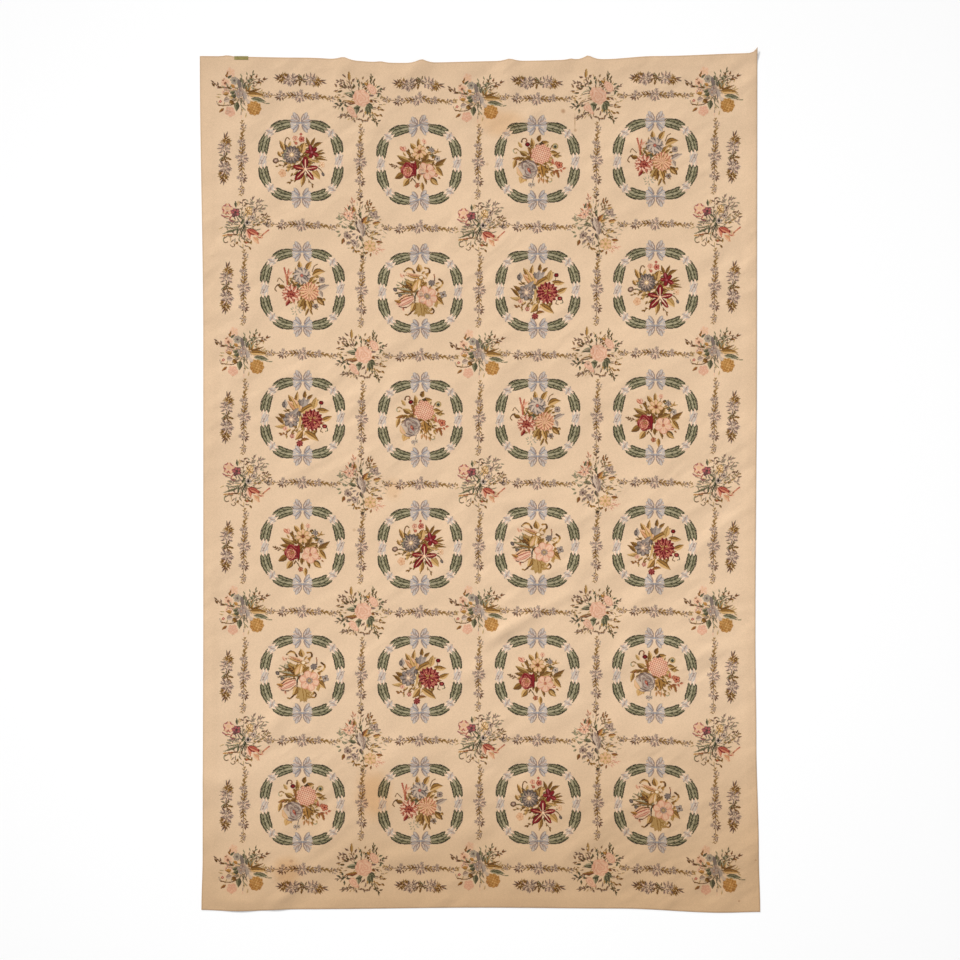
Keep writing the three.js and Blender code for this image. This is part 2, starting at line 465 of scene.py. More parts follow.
        # Small leaves scattered between two distances from a place, pointing away from it, give or take.
        draw = np.random.default_rng(seed)
        turns, shares, leans = (draw.uniform(*ends, count) for ends in ((0, 360), (0, 1), (-50, 50)))
        for turn, share, lean in zip(turns, shares, leans):
            away = inner + (reach - inner) * share
            angle = np.radians(turn)
            foot = (place[0] + away * np.cos(angle), place[1] + away * np.sin(angle))
            self.sprig(foot, turn + lean, long, wide, tone)

    def curl(self, place, radius, turn, sweep, wide, tone):
        # A tendril that winds in from its start angle through the sweep.
        angles = np.radians(turn + sweep * np.linspace(0, 1, 9))
        radii = radius * np.linspace(1, 0.35, 9)
        points = np.stack([place[0] + radii * np.cos(angles), place[1] + radii * np.sin(angles)], 1)
        self.line([tuple(point) for point in points], wide, tone)


def worked(rows, wide, tall, turned=False):
    # A chart with each row's brush worked in turn; turned gives the same motif standing upright.
    chart = Chart(wide, tall)
    for brush, *values in rows:
        getattr(chart, brush)(*values)
    return np.rot90(chart.wool, -1) if turned else chart.wool


# The wreath of laurel bundles, ribbon ties and two bows
wreath = {
    "wide": 184,
    "tall": 200,
    "halfWidth": 76.0,  # of the line through the middle of the bundles
    "halfHeight": 74.0,
    "squareness": 2.75,
    # Each bundle runs from its closed end to its loose tips, in degrees round the wreath
    "bundles": [
        (105, 132.5), (75, 47.5), (-105, -132.5), (-75, -47.5),
        (143, 171.3), (37, 8.7), (-143, -171.3), (-37, -8.7),
    ],
    "step": 6.5,  # degrees from one tier of leaves to the next
    "leafLead": 14.0,  # degrees that a leaf reaches ahead
    "leafWide": 8.4,
    "tipWide": 6.6,
    "asides": (-7.0, 7.0, 0.0),  # where the leaves of a tier lie across the bundle
    "halfThick": (6.8, 9.8, 8.4),  # of the bundle's dark edge: at its closed end, in its middle, at its tips
    "edgeLine": 2.0,
    # Each tie's middle and half length, in degrees round the wreath
    "ties": [(0, 4.4), (180, 4.4), (42.5, 0.6), (137.5, 0.6), (-42.5, 0.6), (-137.5, 0.6)],
    "tieThick": 15,
    "spike": (3.3, 8.5, 3.6),  # of a tie's pale spikes: how far aside, length in degrees and width
    # Strokes over a tie: how far aside of its middle, how much they slant, and their wools
    "tieStrokes": [
        (-5, 3, "thistle silver"), (0, 4, "thistle heather"),
        (4, -3, "shell thistle"), (5, 3, "silver thistle"),
    ],
    "knot": 75,  # of each bow, from the wreath's middle
}


def ringPlace(turn, aside=0.0):
    # A place on the wreath's rounded square, at a turn in degrees, some stitches outwards.
    c, s = np.cos(np.radians(turn)), np.sin(np.radians(turn))
    power = wreath["squareness"]
    spread = np.abs(c / wreath["halfWidth"]) ** power + np.abs(s / wreath["halfHeight"]) ** power
    reach = spread ** (-1 / power)
    return (reach + aside) * c, (reach + aside) * s


def laurelBundle(chart, start, end, draw):
    # Dark tips at the loose end, then tiers of outlined leaves, each over the tips of the one before.
    way = np.sign(end - start)
    lead = way * wreath["leafLead"]
    for aside in wreath["asides"]:
        foot, tip = ringPlace(end - lead, aside * 0.7), ringPlace(end + way * draw.uniform(-1, 0.6), aside)
        chart.leaf(foot, tip, wreath["tipWide"], "ink bottle bottle pine")
    steps = int((abs(end - start) - abs(lead)) / wreath["step"])
    for k in range(steps, -1, -1):
        turn = start + way * k * wreath["step"]
        for aside in wreath["asides"]:
            foot = ringPlace(turn, aside * 0.35)
            tip = ringPlace(turn + lead * draw.uniform(0.85, 1.0), aside * 1.12 + draw.uniform(-0.8, 0.8))
            chart.bay(foot, tip, wreath["leafWide"], "laurel" if aside else "laurelLight")
    turns = (start, (start + end) / 2, end - lead * 0.2)
    for side in (-1, 1):
        edge = [ringPlace(turn, side * thick) for turn, thick in zip(turns, wreath["halfThick"])]
        chart.line(edge, wreath["edgeLine"], "bottle ink ink bottle")
    thick = wreath["halfThick"][0]
    closed = [ringPlace(start, thick), ringPlace(start - way * 2.6), ringPlace(start, -thick)]
    chart.line(closed, wreath["edgeLine"], "bottle pine bottle")


def ribbonTie(chart, turn, half):
    # A mottled patch of ribbon across the wreath, with pale spikes that reach between the leaf tips.
    chart.line([ringPlace(turn - half), ringPlace(turn), ringPlace(turn + half)], wreath["tieThick"], "mist")
    spikeAside, spikeLong, spikeWide = wreath["spike"]
    for aside in (-spikeAside, spikeAside):
        for side in (-1, 1):
            foot = ringPlace(turn + side * half, aside * 1.2)
            tip = ringPlace(turn + side * (half + spikeLong), aside)
            chart.leaf(foot, tip, spikeWide, "mist shell ivory")
    for aside, lean, tone in wreath["tieStrokes"]:
        ends = [ringPlace(turn - half - 1, aside - lean), ringPlace(turn + half + 1, aside + lean)]
        chart.line(ends, 1.9, tone)


# Blades of one side of a bow, outwards from its knot: foot, tip, width and wools
bowBlades = [
    ((2, -1), (9, -14), 6.5, "thistle mist silver"),
    ((3, 0), (14, -20), 9.0, "heather thistle silver mist"),
    ((4, 0), (19, -12), 9.0, "steel silver mist"),
    ((2, 1), (20, -3), 9.5, "thistle silver mist"),
    ((2, 1), (20, 6), 9.0, "steel thistle silver"),
    ((2, 1), (18, 14), 8.5, "thistle silver mist"),
    ((1, 0), (14, 21), 9.5, "heather thistle silver mist"),
    ((1, 1), (8, 16), 6.0, "heather thistle mist"),
]
# Thin strokes over them: how far out they start and end, in shares, their end, and their wools
bowStrokes = [
    (0.2, 0.8, (12, 19), "iron thistle"),
    (0.4, 1.0, (17, 10), "mist shell"),
    (0.3, 0.8, (18, 3), "iron thistle"),
    (0.5, 1.0, (18, -6), "ivory mist"),
    (0.3, 0.9, (15, -16), "iron heather"),
    (0.5, 0.9, (8, 13), "mist silver"),
]


def ribbonBow(chart, up):
    # The blades mirrored about the middle; up is 1 for the top bow.
    knot = wreath["knot"] * up
    for side in (-1, 1):
        for foot, tip, wide, tone in bowBlades:
            ends = [(side * x, knot + up * y) for x, y in (foot, tip)]
            chart.petal(*ends, wide, tone)
        for near, far, (x, y), tone in bowStrokes:
            chart.line([(side * x * share, knot + up * y * share) for share in (near, far)], 1.4, tone)
    chart.oval((0, knot), 4.2, 2.4, "iron steel silver")


def wreathChart():
    # The bundles first, then the ties and the bows over their ends.
    chart = Chart(wreath["wide"], wreath["tall"])
    draw = np.random.default_rng(7)
    for start, end in wreath["bundles"]:
        laurelBundle(chart, start, end, draw)
    for turn, half in wreath["ties"]:
        ribbonTie(chart, turn, half)
    for up in (1, -1):
        ribbonBow(chart, up)
    return chart.wool


# The bouquets. Each row is a brush and its values: places in stitches, sizes, wools
bouquets = {}
bouquets["asterAndLily"] = [
    ("thicket", (0, 0), 36, 4, 24, 10, 3.6, "moss gold honey", 81),
    ("thicket", (2, 2), 22, 0, 40, 9, 4.2, "umber moss olive", 2),
    ("thicket", (0, 0), 34, 8, 34, 9, 3.6, "leaf", 3),
    ("thicket", (0, 2), 38, 18, 16, 8, 3.0, "umber moss sage", 4),
    ("leaf", (-34, 20), (-42, 40), 8, "leafGold", -1),
    ("leaf", (-40, 8), (-46, 18), 7, "leafGold"),
    ("line", [(-30, 24), (-31, 36), (-27, 45), (-22, 42)], 2.4, "twig"),
    ("leaf", (-24, 24), (-20, 38), 5, "leafLight"),
    ("leaf", (2, 14), (8, 36), 14, "leafGold", 2),
    ("leaf", (0, 18), (-6, 30), 8, "leaf"),
    ("leaf", (18, 28), (11, 46), 6, "leafDark"),
    ("leaf", (20, 28), (29, 46), 6, "leafDark"),
    ("leaf", (24, 25), (44, 37), 7, "leafDark", 2),
    ("leaf", (30, 12), (46, 22), 4, "leaf", 1),
    ("leaf", (30, 10), (50, 16), 4, "leafDark", 1),
    ("leaf", (28, 8), (50, 6), 4, "leaf", 1),
    ("leaf", (26, 4), (54, 1), 4, "leafDark", 1),
    ("leaf", (18, 0), (40, -4), 5, "leafLight", 1),
    ("leaf", (12, 2), (24, 8), 8, "leafGold"),
    ("line", [(28, -12), (38, -17), (44, -25)], 2.0, "twig"),
    ("oval", (44, -27), 4.2, 2.8, "navy slate", -60),
    ("flower", (42, -8), 6, 5, "apricot peach cream", "apricot"),
    ("leaf", (-20, -6), (-26, -24), 8, "leafLight", -1),
    ("leaf", (-14, -12), (-31, -14), 4, "leaf"),
    ("leaf", (5, -26), (0, -54), 9, "leafGold", 1.5),
    ("leaf", (22, -22), (38, -38), 12, "gold straw honey", 2),
    ("twig", [(0, -32), (-14, -40), (-24, -44)], 5, 6, 3, "leafDark"),
    ("twig", [(14, -38), (20, -46), (22, -51)], 3, 5, 3, "leafDark"),
    ("twig", [(-22, -6), (-34, -10), (-46, -12)], 4, 6, 3, "leaf"),
    ("flower", (-37, -26), 8, 5, "apricot peach peach", "apricot", 0, 0.15),
    ("oval", (-50, -1), 6, 5, "umber mauve lilac shell", 30),
    ("line", [(-55, -3), (-50, -6), (-45, -3)], 2.0, "twig"),
    ("flower", (-11, 44), 5.5, 5, "rose salmon shell", "rust"),
    ("flower", (2, 42), 6.5, 5, "coral rose salmon", "crimson"),
    ("oval", (-9, 34), 3, 3, "coral salmon"),
    ("oval", (1, 52), 3, 2.6, "coral rose"),
    ("flower", (-18, 11), 18.6, 13, "navy navy slate sky", "", 0, 0.2, 0.2, 0.33),
    ("flower", (-18, 11), 13.4, 11, "navy slate lilac pearl", "", 10, 0.25, 0.2, 0.36),
    ("flower", (-18, 11), 7.2, 8, "mauve lilac pearl", "honey cream cream", 0, 0.2, 0.56),
    ("leaves", [(-33, 14, 60), (-34, 4, 100), (-30, -4, 160)], 9, 3.4, "umber sage celadon"),
    ("petal", (22, 16), (18, 31), 9, "garnet crimson magenta"),
    ("petal", (22, 16), (9, 18), 8, "crimsonPetal"),
    ("petal", (22, 16), (32, 26), 8, "garnet crimson crimson"),
    ("petal", (22, 16), (36, 9), 9, "crimsonPetal"),
    ("petal", (22, 16), (19, 4), 9, "garnet crimson crimson"),
    ("oval", (22, 16), 2.4, 2.4, "magenta rose"),
    ("petal", (9, -18), (-12, -40), 13, "garnet crimson crimson", "peach"),
    ("petal", (9, -18), (25, -39), 9, "crimsonPetal", "cream"),
    ("petal", (9, -18), (-16, -12), 10, "garnet crimson crimson", "salmon"),
    ("petal", (9, -18), (34, -13), 10, "crimsonPetal", "blush"),
    ("petal", (9, -18), (9, 8), 13, "garnet crimson crimson", "shell"),
    ("oval", (9, -18), 2.4, 2.4, "cream"),
]
bouquets["roseAndHibiscus"] = [
    ("thicket", (0, 0), 36, 4, 24, 10, 3.6, "moss gold honey", 82),
    ("thicket", (2, 2), 20, 0, 36, 9, 4.2, "umber moss olive", 20),
    ("thicket", (2, 4), 30, 6, 34, 9, 3.8, "leafDark", 5),
    ("thicket", (0, -2), 36, 20, 14, 8, 3.0, "umber moss olive", 6),
    ("leaf", (-7, 30), (-17, 43), 9, "leafGold"),
    ("leaf", (0, 34), (-1, 49), 7, "leafGold"),
    ("leaf", (-18, 6), (-44, 19), 10, "leaf", 1),
    ("leaf", (-24, 1), (-45, 4), 8, "leafDark"),
    ("twig", [(-40, -5), (-48, -4), (-55, -1)], 6, 6, 2.2, "umber moss", "moss"),
    ("leaf", (-30, -16), (-49, -28), 12, "leafDark", 1),
    ("leaf", (-20, -28), (-32, -44), 12, "leafGold"),
    ("leaf", (6, -42), (6, -59), 8, "leafGold"),
    ("leaf", (8, -28), (14, -44), 5, "leafDark", 2),
    ("line", [(-14, -28), (-8, -36), (-5, -44)], 2.0, "twig"),
    ("flower", (-4, -45), 5.5, 5, "garnet rust salmon", "umber"),
    ("leaf", (-2, -22), (-1, -36), 7, "leafDark"),
    ("leaf", (34, -6), (48, -24), 11, "leafGold", -1),
    ("leaf", (32, 0), (55, 12), 8, "leafDark", -2),
    ("leaf", (32, -4), (50, 0), 6, "leaf"),
    ("leaf", (23, -28), (37, -42), 12, "ink moss olive"),
    ("leaf", (25, -30), (38, -42), 6, "leafLight"),
    ("leaf", (4, -3), (31, 7), 11, "leaf", 1),
    ("leaf", (14, 6), (20, 20), 6, "leaf"),
    ("leaf", (-6, 4), (-4, 12), 5, "leafDark"),
    ("leaf", (14, 30), (22, 34), 5, "leafDark"),
    ("line", [(20, 34), (28, 20), (36, 12)], 1.6, "pineTwig"),
    ("leaves", [(22, 26, 150), (28, 18, 200), (30, 22, 20), (26, 30, 100)], 6, 3, "pineTwig"),
    ("flower", (26, 28), 5.5, 5, "navy slate sky", "plum"),
    ("flower", (37, 11), 6, 5, "slate sky pearl", "navy"),
    ("leaves", [(36, 24, 70), (36, 24, 10), (36, 24, 140), (36, 24, 200)], 9, 2.6, "umber gold honey"),
    ("flower", (11, 42), 5, 5, "salmon blush shell", "coral"),
    ("line", [(11, 38), (10, 34), (6, 30)], 1.4, "twig"),
    ("leaf", (-26, 28), (-16, 22), 5, "leafDark"),
    ("petal", (-28, 26), (-38, 37), 6, "coral salmon blush"),
    ("petal", (-27, 27), (-29, 38), 5, "rose blush shell"),
    ("oval", (34, -22), 3.4, 3, "coral shell"),
    ("leaves", [(30, -20, 10), (38, -26, -40)], 6, 3, "leafBrown"),
    ("flower", (1, 21), 15, 7, "gold honey peach peach", "", 12, 0.34, 0.2, 0.44),
    ("flower", (1, 21), 5.6, 7, "rust amber honey", "garnet rust", 0, 0.3, 0.6),
    ("rose", (-20, -11), 16, "garnet crimson crimson rose", 20),
    ("rose", (-23, -13), 10, "crimson rose salmon blush", 60, 2.2),
    ("leaves", [(-24, -16, 70), (-19, -15, 80), (-26, -8, 20)], 7, 1.8, "moss gold"),
    ("petal", (-8, -26), (-8, 5), 7, "garnet crimson crimson"),
    ("flower", (16, -16), 17, 5, "salmon blush shell peach", "coral apricot honey", 20, 0.2, 0.2, 0.47),
    ("line", [(16, -16), (15, -8), (16, -4)], 1.6, "coral rust"),
]
bouquets["hydrangeaAndRose"] = [
    ("thicket", (0, 0), 36, 4, 24, 10, 3.6, "moss gold honey", 83),
    ("thicket", (4, -6), 20, 0, 36, 9, 4.2, "umber moss gold", 19),
    ("thicket", (2, 2), 36, 10, 34, 9, 3.6, "leaf", 7),
    ("thicket", (6, 0), 40, 22, 18, 8, 3.0, "umber olive straw", 8),
    ("curl", (-24, 44), 7, 200, -250, 2.4, "umber rust"),
    ("leaf", (-7, 32), (-11, 50), 8, "leafGold"),
    ("leaf", (3, 42), (7, 56), 9, "leafDark", 1),
    ("line", [(4, 38), (2, 32)], 1.6, "twig"),
    ("leaf", (6, 37), (24, 41), 11, "leafGold"),
    ("oval", (9, 38), 4, 3, "ink umber"),
    ("oval", (-19, 37), 5, 4.6, "garnet crimson", 20),
    ("leaf", (-18, 32), (-12, 22), 6, "leafBrown"),
    ("leaf", (-30, 30), (-38, 42), 6, "leafLight"),
    ("curl", (-43, 21), 6.5, 30, 300, 2.2, "olive celadon straw"),
    ("leaf", (-20, 14), (-36, 24), 9, "leaf"),
    ("leaf", (-12, 12), (-24, 8), 8, "leafDark"),
    ("leaf", (-26, 10), (-38, 8), 5, "leafDark"),
    ("leaf", (-34, 12), (-50, 6), 6, "leafBrown", 2),
    ("leaf", (-42, 6), (-48, -14), 8, "leafGold"),
    ("leaf", (-10, 8), (-14, 28), 7, "leafBrown"),
    ("oval", (36, 32), 6.5, 6, "straw celadon cream"),
    ("oval", (36, 31), 2.8, 2.8, "ink pine"),
    ("line", [(30, 34), (26, 26)], 1.6, "twig"),
    ("leaf", (26, 22), (42, 18), 8, "leafGold", -1),
    ("leaf", (30, 14), (50, 12), 5, "leaf"),
    ("leaf", (34, 10), (46, 20), 4, "leaf"),
    ("leaf", (24, 10), (32, 6), 7, "leafLight"),
    ("line", [(28, 0), (36, -4), (42, -2)], 2.0, "coral rust"),
    ("leaves", [(30, 0, 80), (33, -2, 120), (36, -4, 60), (50, -14, 10), (46, -14, -60)],
     8, 4, "rust coral salmon"),
    ("flower", (44, -6), 7.5, 5, "rust coral salmon", "crimson garnet"),
    ("line", [(22, -6), (26, -14), (36, -20)], 2.0, "twig"),
    ("leaves", [(34, -18, 5), (36, -18, -40), (32, -16, -80), (40, -22, -70)], 11, 5, "rust rust gold"),
    ("curl", (26, -35), 6.5, 120, 300, 2.2, "olive celadon straw"),
    ("leaf", (20, -4), (22, -16), 6, "leafLight"),
    ("leaves", [(6, -30, -60), (4, -32, -100), (12, -32, -90), (16, -34, -60)], 10, 4, "olive gold apricot"),
    ("line", [(-8, -32), (-10, -42), (-12, -50)], 1.6, "slate periwinkle"),
    ("flower", (-14, -44), 4.5, 5, "slate sky pearl", "umber"),
    ("flower", (-8, -44), 3.6, 5, "slate sky cream", "umber"),
    ("leaf", (-28, -26), (-34, -42), 13, "amber honey honey"),
    ("leaf", (-26, -28), (-22, -38), 8, "gold honey"),
    ("leaf", (8, -4), (12, -30), 18, "umber gold gold amber"),
    ("leaves", [(6, -14, 190), (8, -20, 200), (16, -12, -20), (17, -18, -30)], 6, 5, "umber gold"),
    ("flower", (-19, -14), 20, 5, "mauve lilac pearl pearl", "", 60, 0.1, 0.2, 0.49),
    ("rose", (-17, -12), 17, "slate mauve lilac sky pearl", 40, 2.2),
    ("leaf", (-28, -28), (-40, -8), 15, "honey peach pearl"),
    ("line", [(-36, -2), (-24, 3), (-8, -6), (-2, -22)], 1.8, "navy slate"),
    ("line", [(-28, -26), (-16, -30), (-6, -24)], 1.8, "navy slate"),
    ("leaf", (-22, -8), (-10, -28), 9, "slate lilac sky"),
    ("leaf", (-19, -10), (-13, -22), 5, "plum crimson rose"),
    ("oval", (-17, -14), 2.2, 3.2, "coral apricot", 30),
    ("ball", (8, 17), 19.5, "rose salmon blush shell ivory"),
]
bouquets["starAndCarnation"] = [
    ("thicket", (0, 0), 36, 4, 26, 10, 3.6, "moss gold honey", 84),
    ("thicket", (-4, 4), 20, 0, 36, 9, 4.2, "umber moss olive", 33),
    ("thicket", (0, 0), 32, 8, 36, 9, 3.8, "leafDark", 9),
    ("thicket", (4, -4), 38, 22, 16, 8, 3.2, "umber olive straw", 10),
    ("leaf", (-4, 38), (-6, 57), 9, "leafGold"),
    ("leaf", (8, 38), (19, 56), 10, "leafGold", 1),
    ("leaf", (20, 28), (46, 36), 13, "leafGold", 4),
    ("line", [(20, 36), (24, 46), (30, 50)], 1.6, "twig"),
    ("leaf", (14, 12), (24, 26), 10, "leafGold"),
    ("leaf", (18, 10), (30, 20), 5, "leaf"),
    ("flower", (39, 19), 6.5, 4, "slate periwinkle lilac", "plum"),
    ("leaf", (32, -2), (54, 9), 10, "slate periwinkle lilac pearl", 2),
    ("leaf", (34, -2), (40, -16), 8, "slate lilac pearl"),
    ("line", [(-30, 10), (-32, 24), (-36, 42)], 3.4, "coral salmon coral"),
    ("petal", (-30, 14), (-27, 41), 4, "rust coral salmon"),
    ("leaf", (-30, 26), (-18, 36), 5, "salmon blush shell"),
    ("line", [(-26, 4), (-22, 14), (-20, 22)], 1.8, "pineTwig"),
    ("leaf", (-20, 30), (-8, 34), 5, "leaf"),
    ("leaf", (-34, 4), (-50, 10), 8, "leafDark", 2),
    ("line", [(-46, 10), (-52, 6), (-55, 0), (-52, -4)], 2.2, "twig"),
    ("line", [(-38, 14), (-46, 22), (-50, 16)], 1.6, "twig"),
    ("leaf", (29, -16), (44, -32), 12, "ink moss olive"),
    ("leaf", (32, -20), (42, -30), 5, "leafGold"),
    ("leaf", (40, -18), (46, -22), 6, "leafGold"),
    ("flower", (26, -34), 5.8, 5, "navy slate lilac", "umber", 20, 0.4),
    ("leaf", (2, -20), (-8, -38), 11, "leaf"),
    ("leaf", (4, -20), (4, -42), 9, "leafDark"),
    ("leaf", (10, -20), (18, -44), 11, "leafGold"),
    ("leaf", (12, -38), (5, -54), 5, "leaf"),
    ("leaf", (14, -40), (20, -52), 4, "leaf"),
    ("thicket", (-12, -43), 9, 1, 16, 5, 2.0, "sage celadon pearl", 18),
    ("leaf", (-14, 8), (-4, 4), 8, "pineTwig"),
    ("leaf", (-4, 6), (12, 12), 8, "leafDark"),
    ("star", (-22, -10), 20, 11, "garnet coral salmon blush", "", 24, 0.24),
    ("star", (-24, -10), 19, 9, "crimson coral salmon shell", "", 8, 0.26),
    ("star", (-24, -10), 10, 7, "garnet crimson coral", "garnet crimson", 20, 0.3, 0.2),
    ("leaf", (-26, -22), (-34, -34), 7, "garnet crimson coral"),
    ("mum", (14, -5), 18.5, 15, "coral apricot peach peach peach", 3.4),
    ("leaves", [(8, 2, 80), (14, 2, 60), (20, -4, 20), (12, -10, -80), (4, -8, 190)],
     9, 3, "moss gold apricot"),
    ("star", (-1, 27), 18, 8, "navy slate periwinkle sky", "", 22, 0.3),
    ("star", (-1, 27), 18.5, 8, "navy slate periwinkle sky pearl", "mauve rose salmon", 0, 0.34, 0.22),
]
bouquets["anemoneAndTulip"] = [
    ("thicket", (0, 0), 36, 4, 18, 10, 3.6, "moss gold honey", 85),
    ("thicket", (-10, 8), 24, 6, 26, 9, 3.4, "umber moss straw", 11),
    ("thicket", (-28, 6), 18, 4, 16, 8, 2.8, "moss sage celadon", 12),
    ("thicket", (14, -10), 26, 20, 12, 7, 3.0, "umber gold honey", 13),
    ("line", [(-31, 43), (-24, 49), (-16, 46), (-11, 38)], 3.6, "umber moss gold umber"),
    ("line", [(-30, 44), (-23, 47), (-17, 45)], 1.6, "honey"),
    ("leaf", (1, 37), (-3, 54), 12, "leafGold", 1),
    ("line", [(10, 46), (17, 46), (19, 39), (12, 34)], 3.6, "gold moss umber gold"),
    ("line", [(23, 16), (29, 24), (28, 36)], 2.2, "navy plum rust"),
    ("mum", (23, 18), 6.4, 7, "navy slate periwinkle"),
    ("line", [(38, 26), (45, 20), (42, 12), (32, 6)], 3.8, "umber olive honey olive"),
    ("line", [(28, 14), (34, 12)], 2.4, "straw"),
    ("flower", (46, -5), 7.5, 4, "navy periwinkle sky", "umber", 20, 0.5),
    ("leaf", (30, -8), (47, -26), 11, "leafGold"),
    ("leaf", (32, -14), (32, -32), 6, "gold straw"),
    ("leaves", [(32, 2, 60), (34, -4, 30)], 6, 4, "leafBrown"),
    ("curl", (21, -39), 7, 60, -300, 3.2, "umber gold straw"),
    ("star", (2, -36), 18, 9, "olive straw straw", "", 10, 0.3),
    ("leaf", (0, -24), (4, -54), 14, "olive straw straw"),
    ("line", [(0, -28), (4, -52)], 1.4, "olive"),
    ("leaf", (-10, -22), (-20, -42), 10, "leafGold", 1),
    ("line", [(-16, -38), (-24, -45), (-30, -44)], 3.0, "umber olive"),
    ("line", [(-4, 0), (-10, -8), (-11, -22)], 3.0, "umber ink umber"),
    ("leaf", (-4, 2), (-46, 22), 6, "umber moss celadon"),
    ("leaf", (-6, 2), (-52, -2), 6, "umber celadon moss"),
    ("leaf", (-6, 0), (-46, 8), 8, "umber olive celadon"),
    ("leaf", (-8, 2), (-30, 24), 18, "umber gold gold straw", -2),
    ("leaves", [(-14, 6, 170), (-18, 10, 170), (-22, 14, 170), (-14, 8, 95), (-18, 12, 95)], 8, 2.6, "umber"),
    ("leaf", (-8, 8), (-10, 26), 9, "leafGold"),
    ("oval", (-50, 6), 4.6, 3.6, "navy slate", -40),
    ("oval", (-40, -6), 4.6, 3.6, "navy slate", -20),
    ("leaf", (-34, 30), (-40, 40), 5, "salmon shell"),
    ("leaf", (-30, 32), (-34, 38), 3, "rust shell"),
    ("leaf", (2, 4), (14, 18), 11, "moss olive straw"),
    ("petal", (0, 26), (-14, 2), 14, "gold honey peach"),
    ("petal", (0, 26), (-4, 4), 8, "amber honey cream"),
    ("leaf", (2, 26), (-30, 36), 8, "umber amber honey peach", -1),
    ("leaf", (0, 30), (-28, 40), 5, "rust apricot peach"),
    ("oval", (2, 26), 6, 4.2, "gold cream ivory"),
    ("line", [(4, 30), (10, 26), (14, 22)], 1.4, "peach"),
    ("leaf", (-14, -8), (-50, -24), 19, "coral salmon shell peach", -1),
    ("leaf", (-12, -12), (-46, -28), 9, "rose blush shell"),
    ("line", [(-14, -6), (-30, -8), (-44, -18)], 2.4, "umber rust garnet"),
    ("line", [(-14, -20), (-28, -30), (-42, -28)], 2.0, "rust garnet"),
    ("leaf", (-38, -20), (-52, -16), 6, "garnet gold amber"),
    ("leaf", (-36, -30), (-32, -38), 4, "rust blush"),
    ("flower", (14, -10), 20.5, 6, "salmon blush shell peach", "", 15, 0.22, 0.2, 0.47),
    ("star", (14, -10), 12, 10, "salmon blush shell", "", 0, 0.14),
    ("flower", (14, -10), 7, 9, "mauve lilac celadon", "mauve straw celadon", 0, 0.2, 0.6),
]
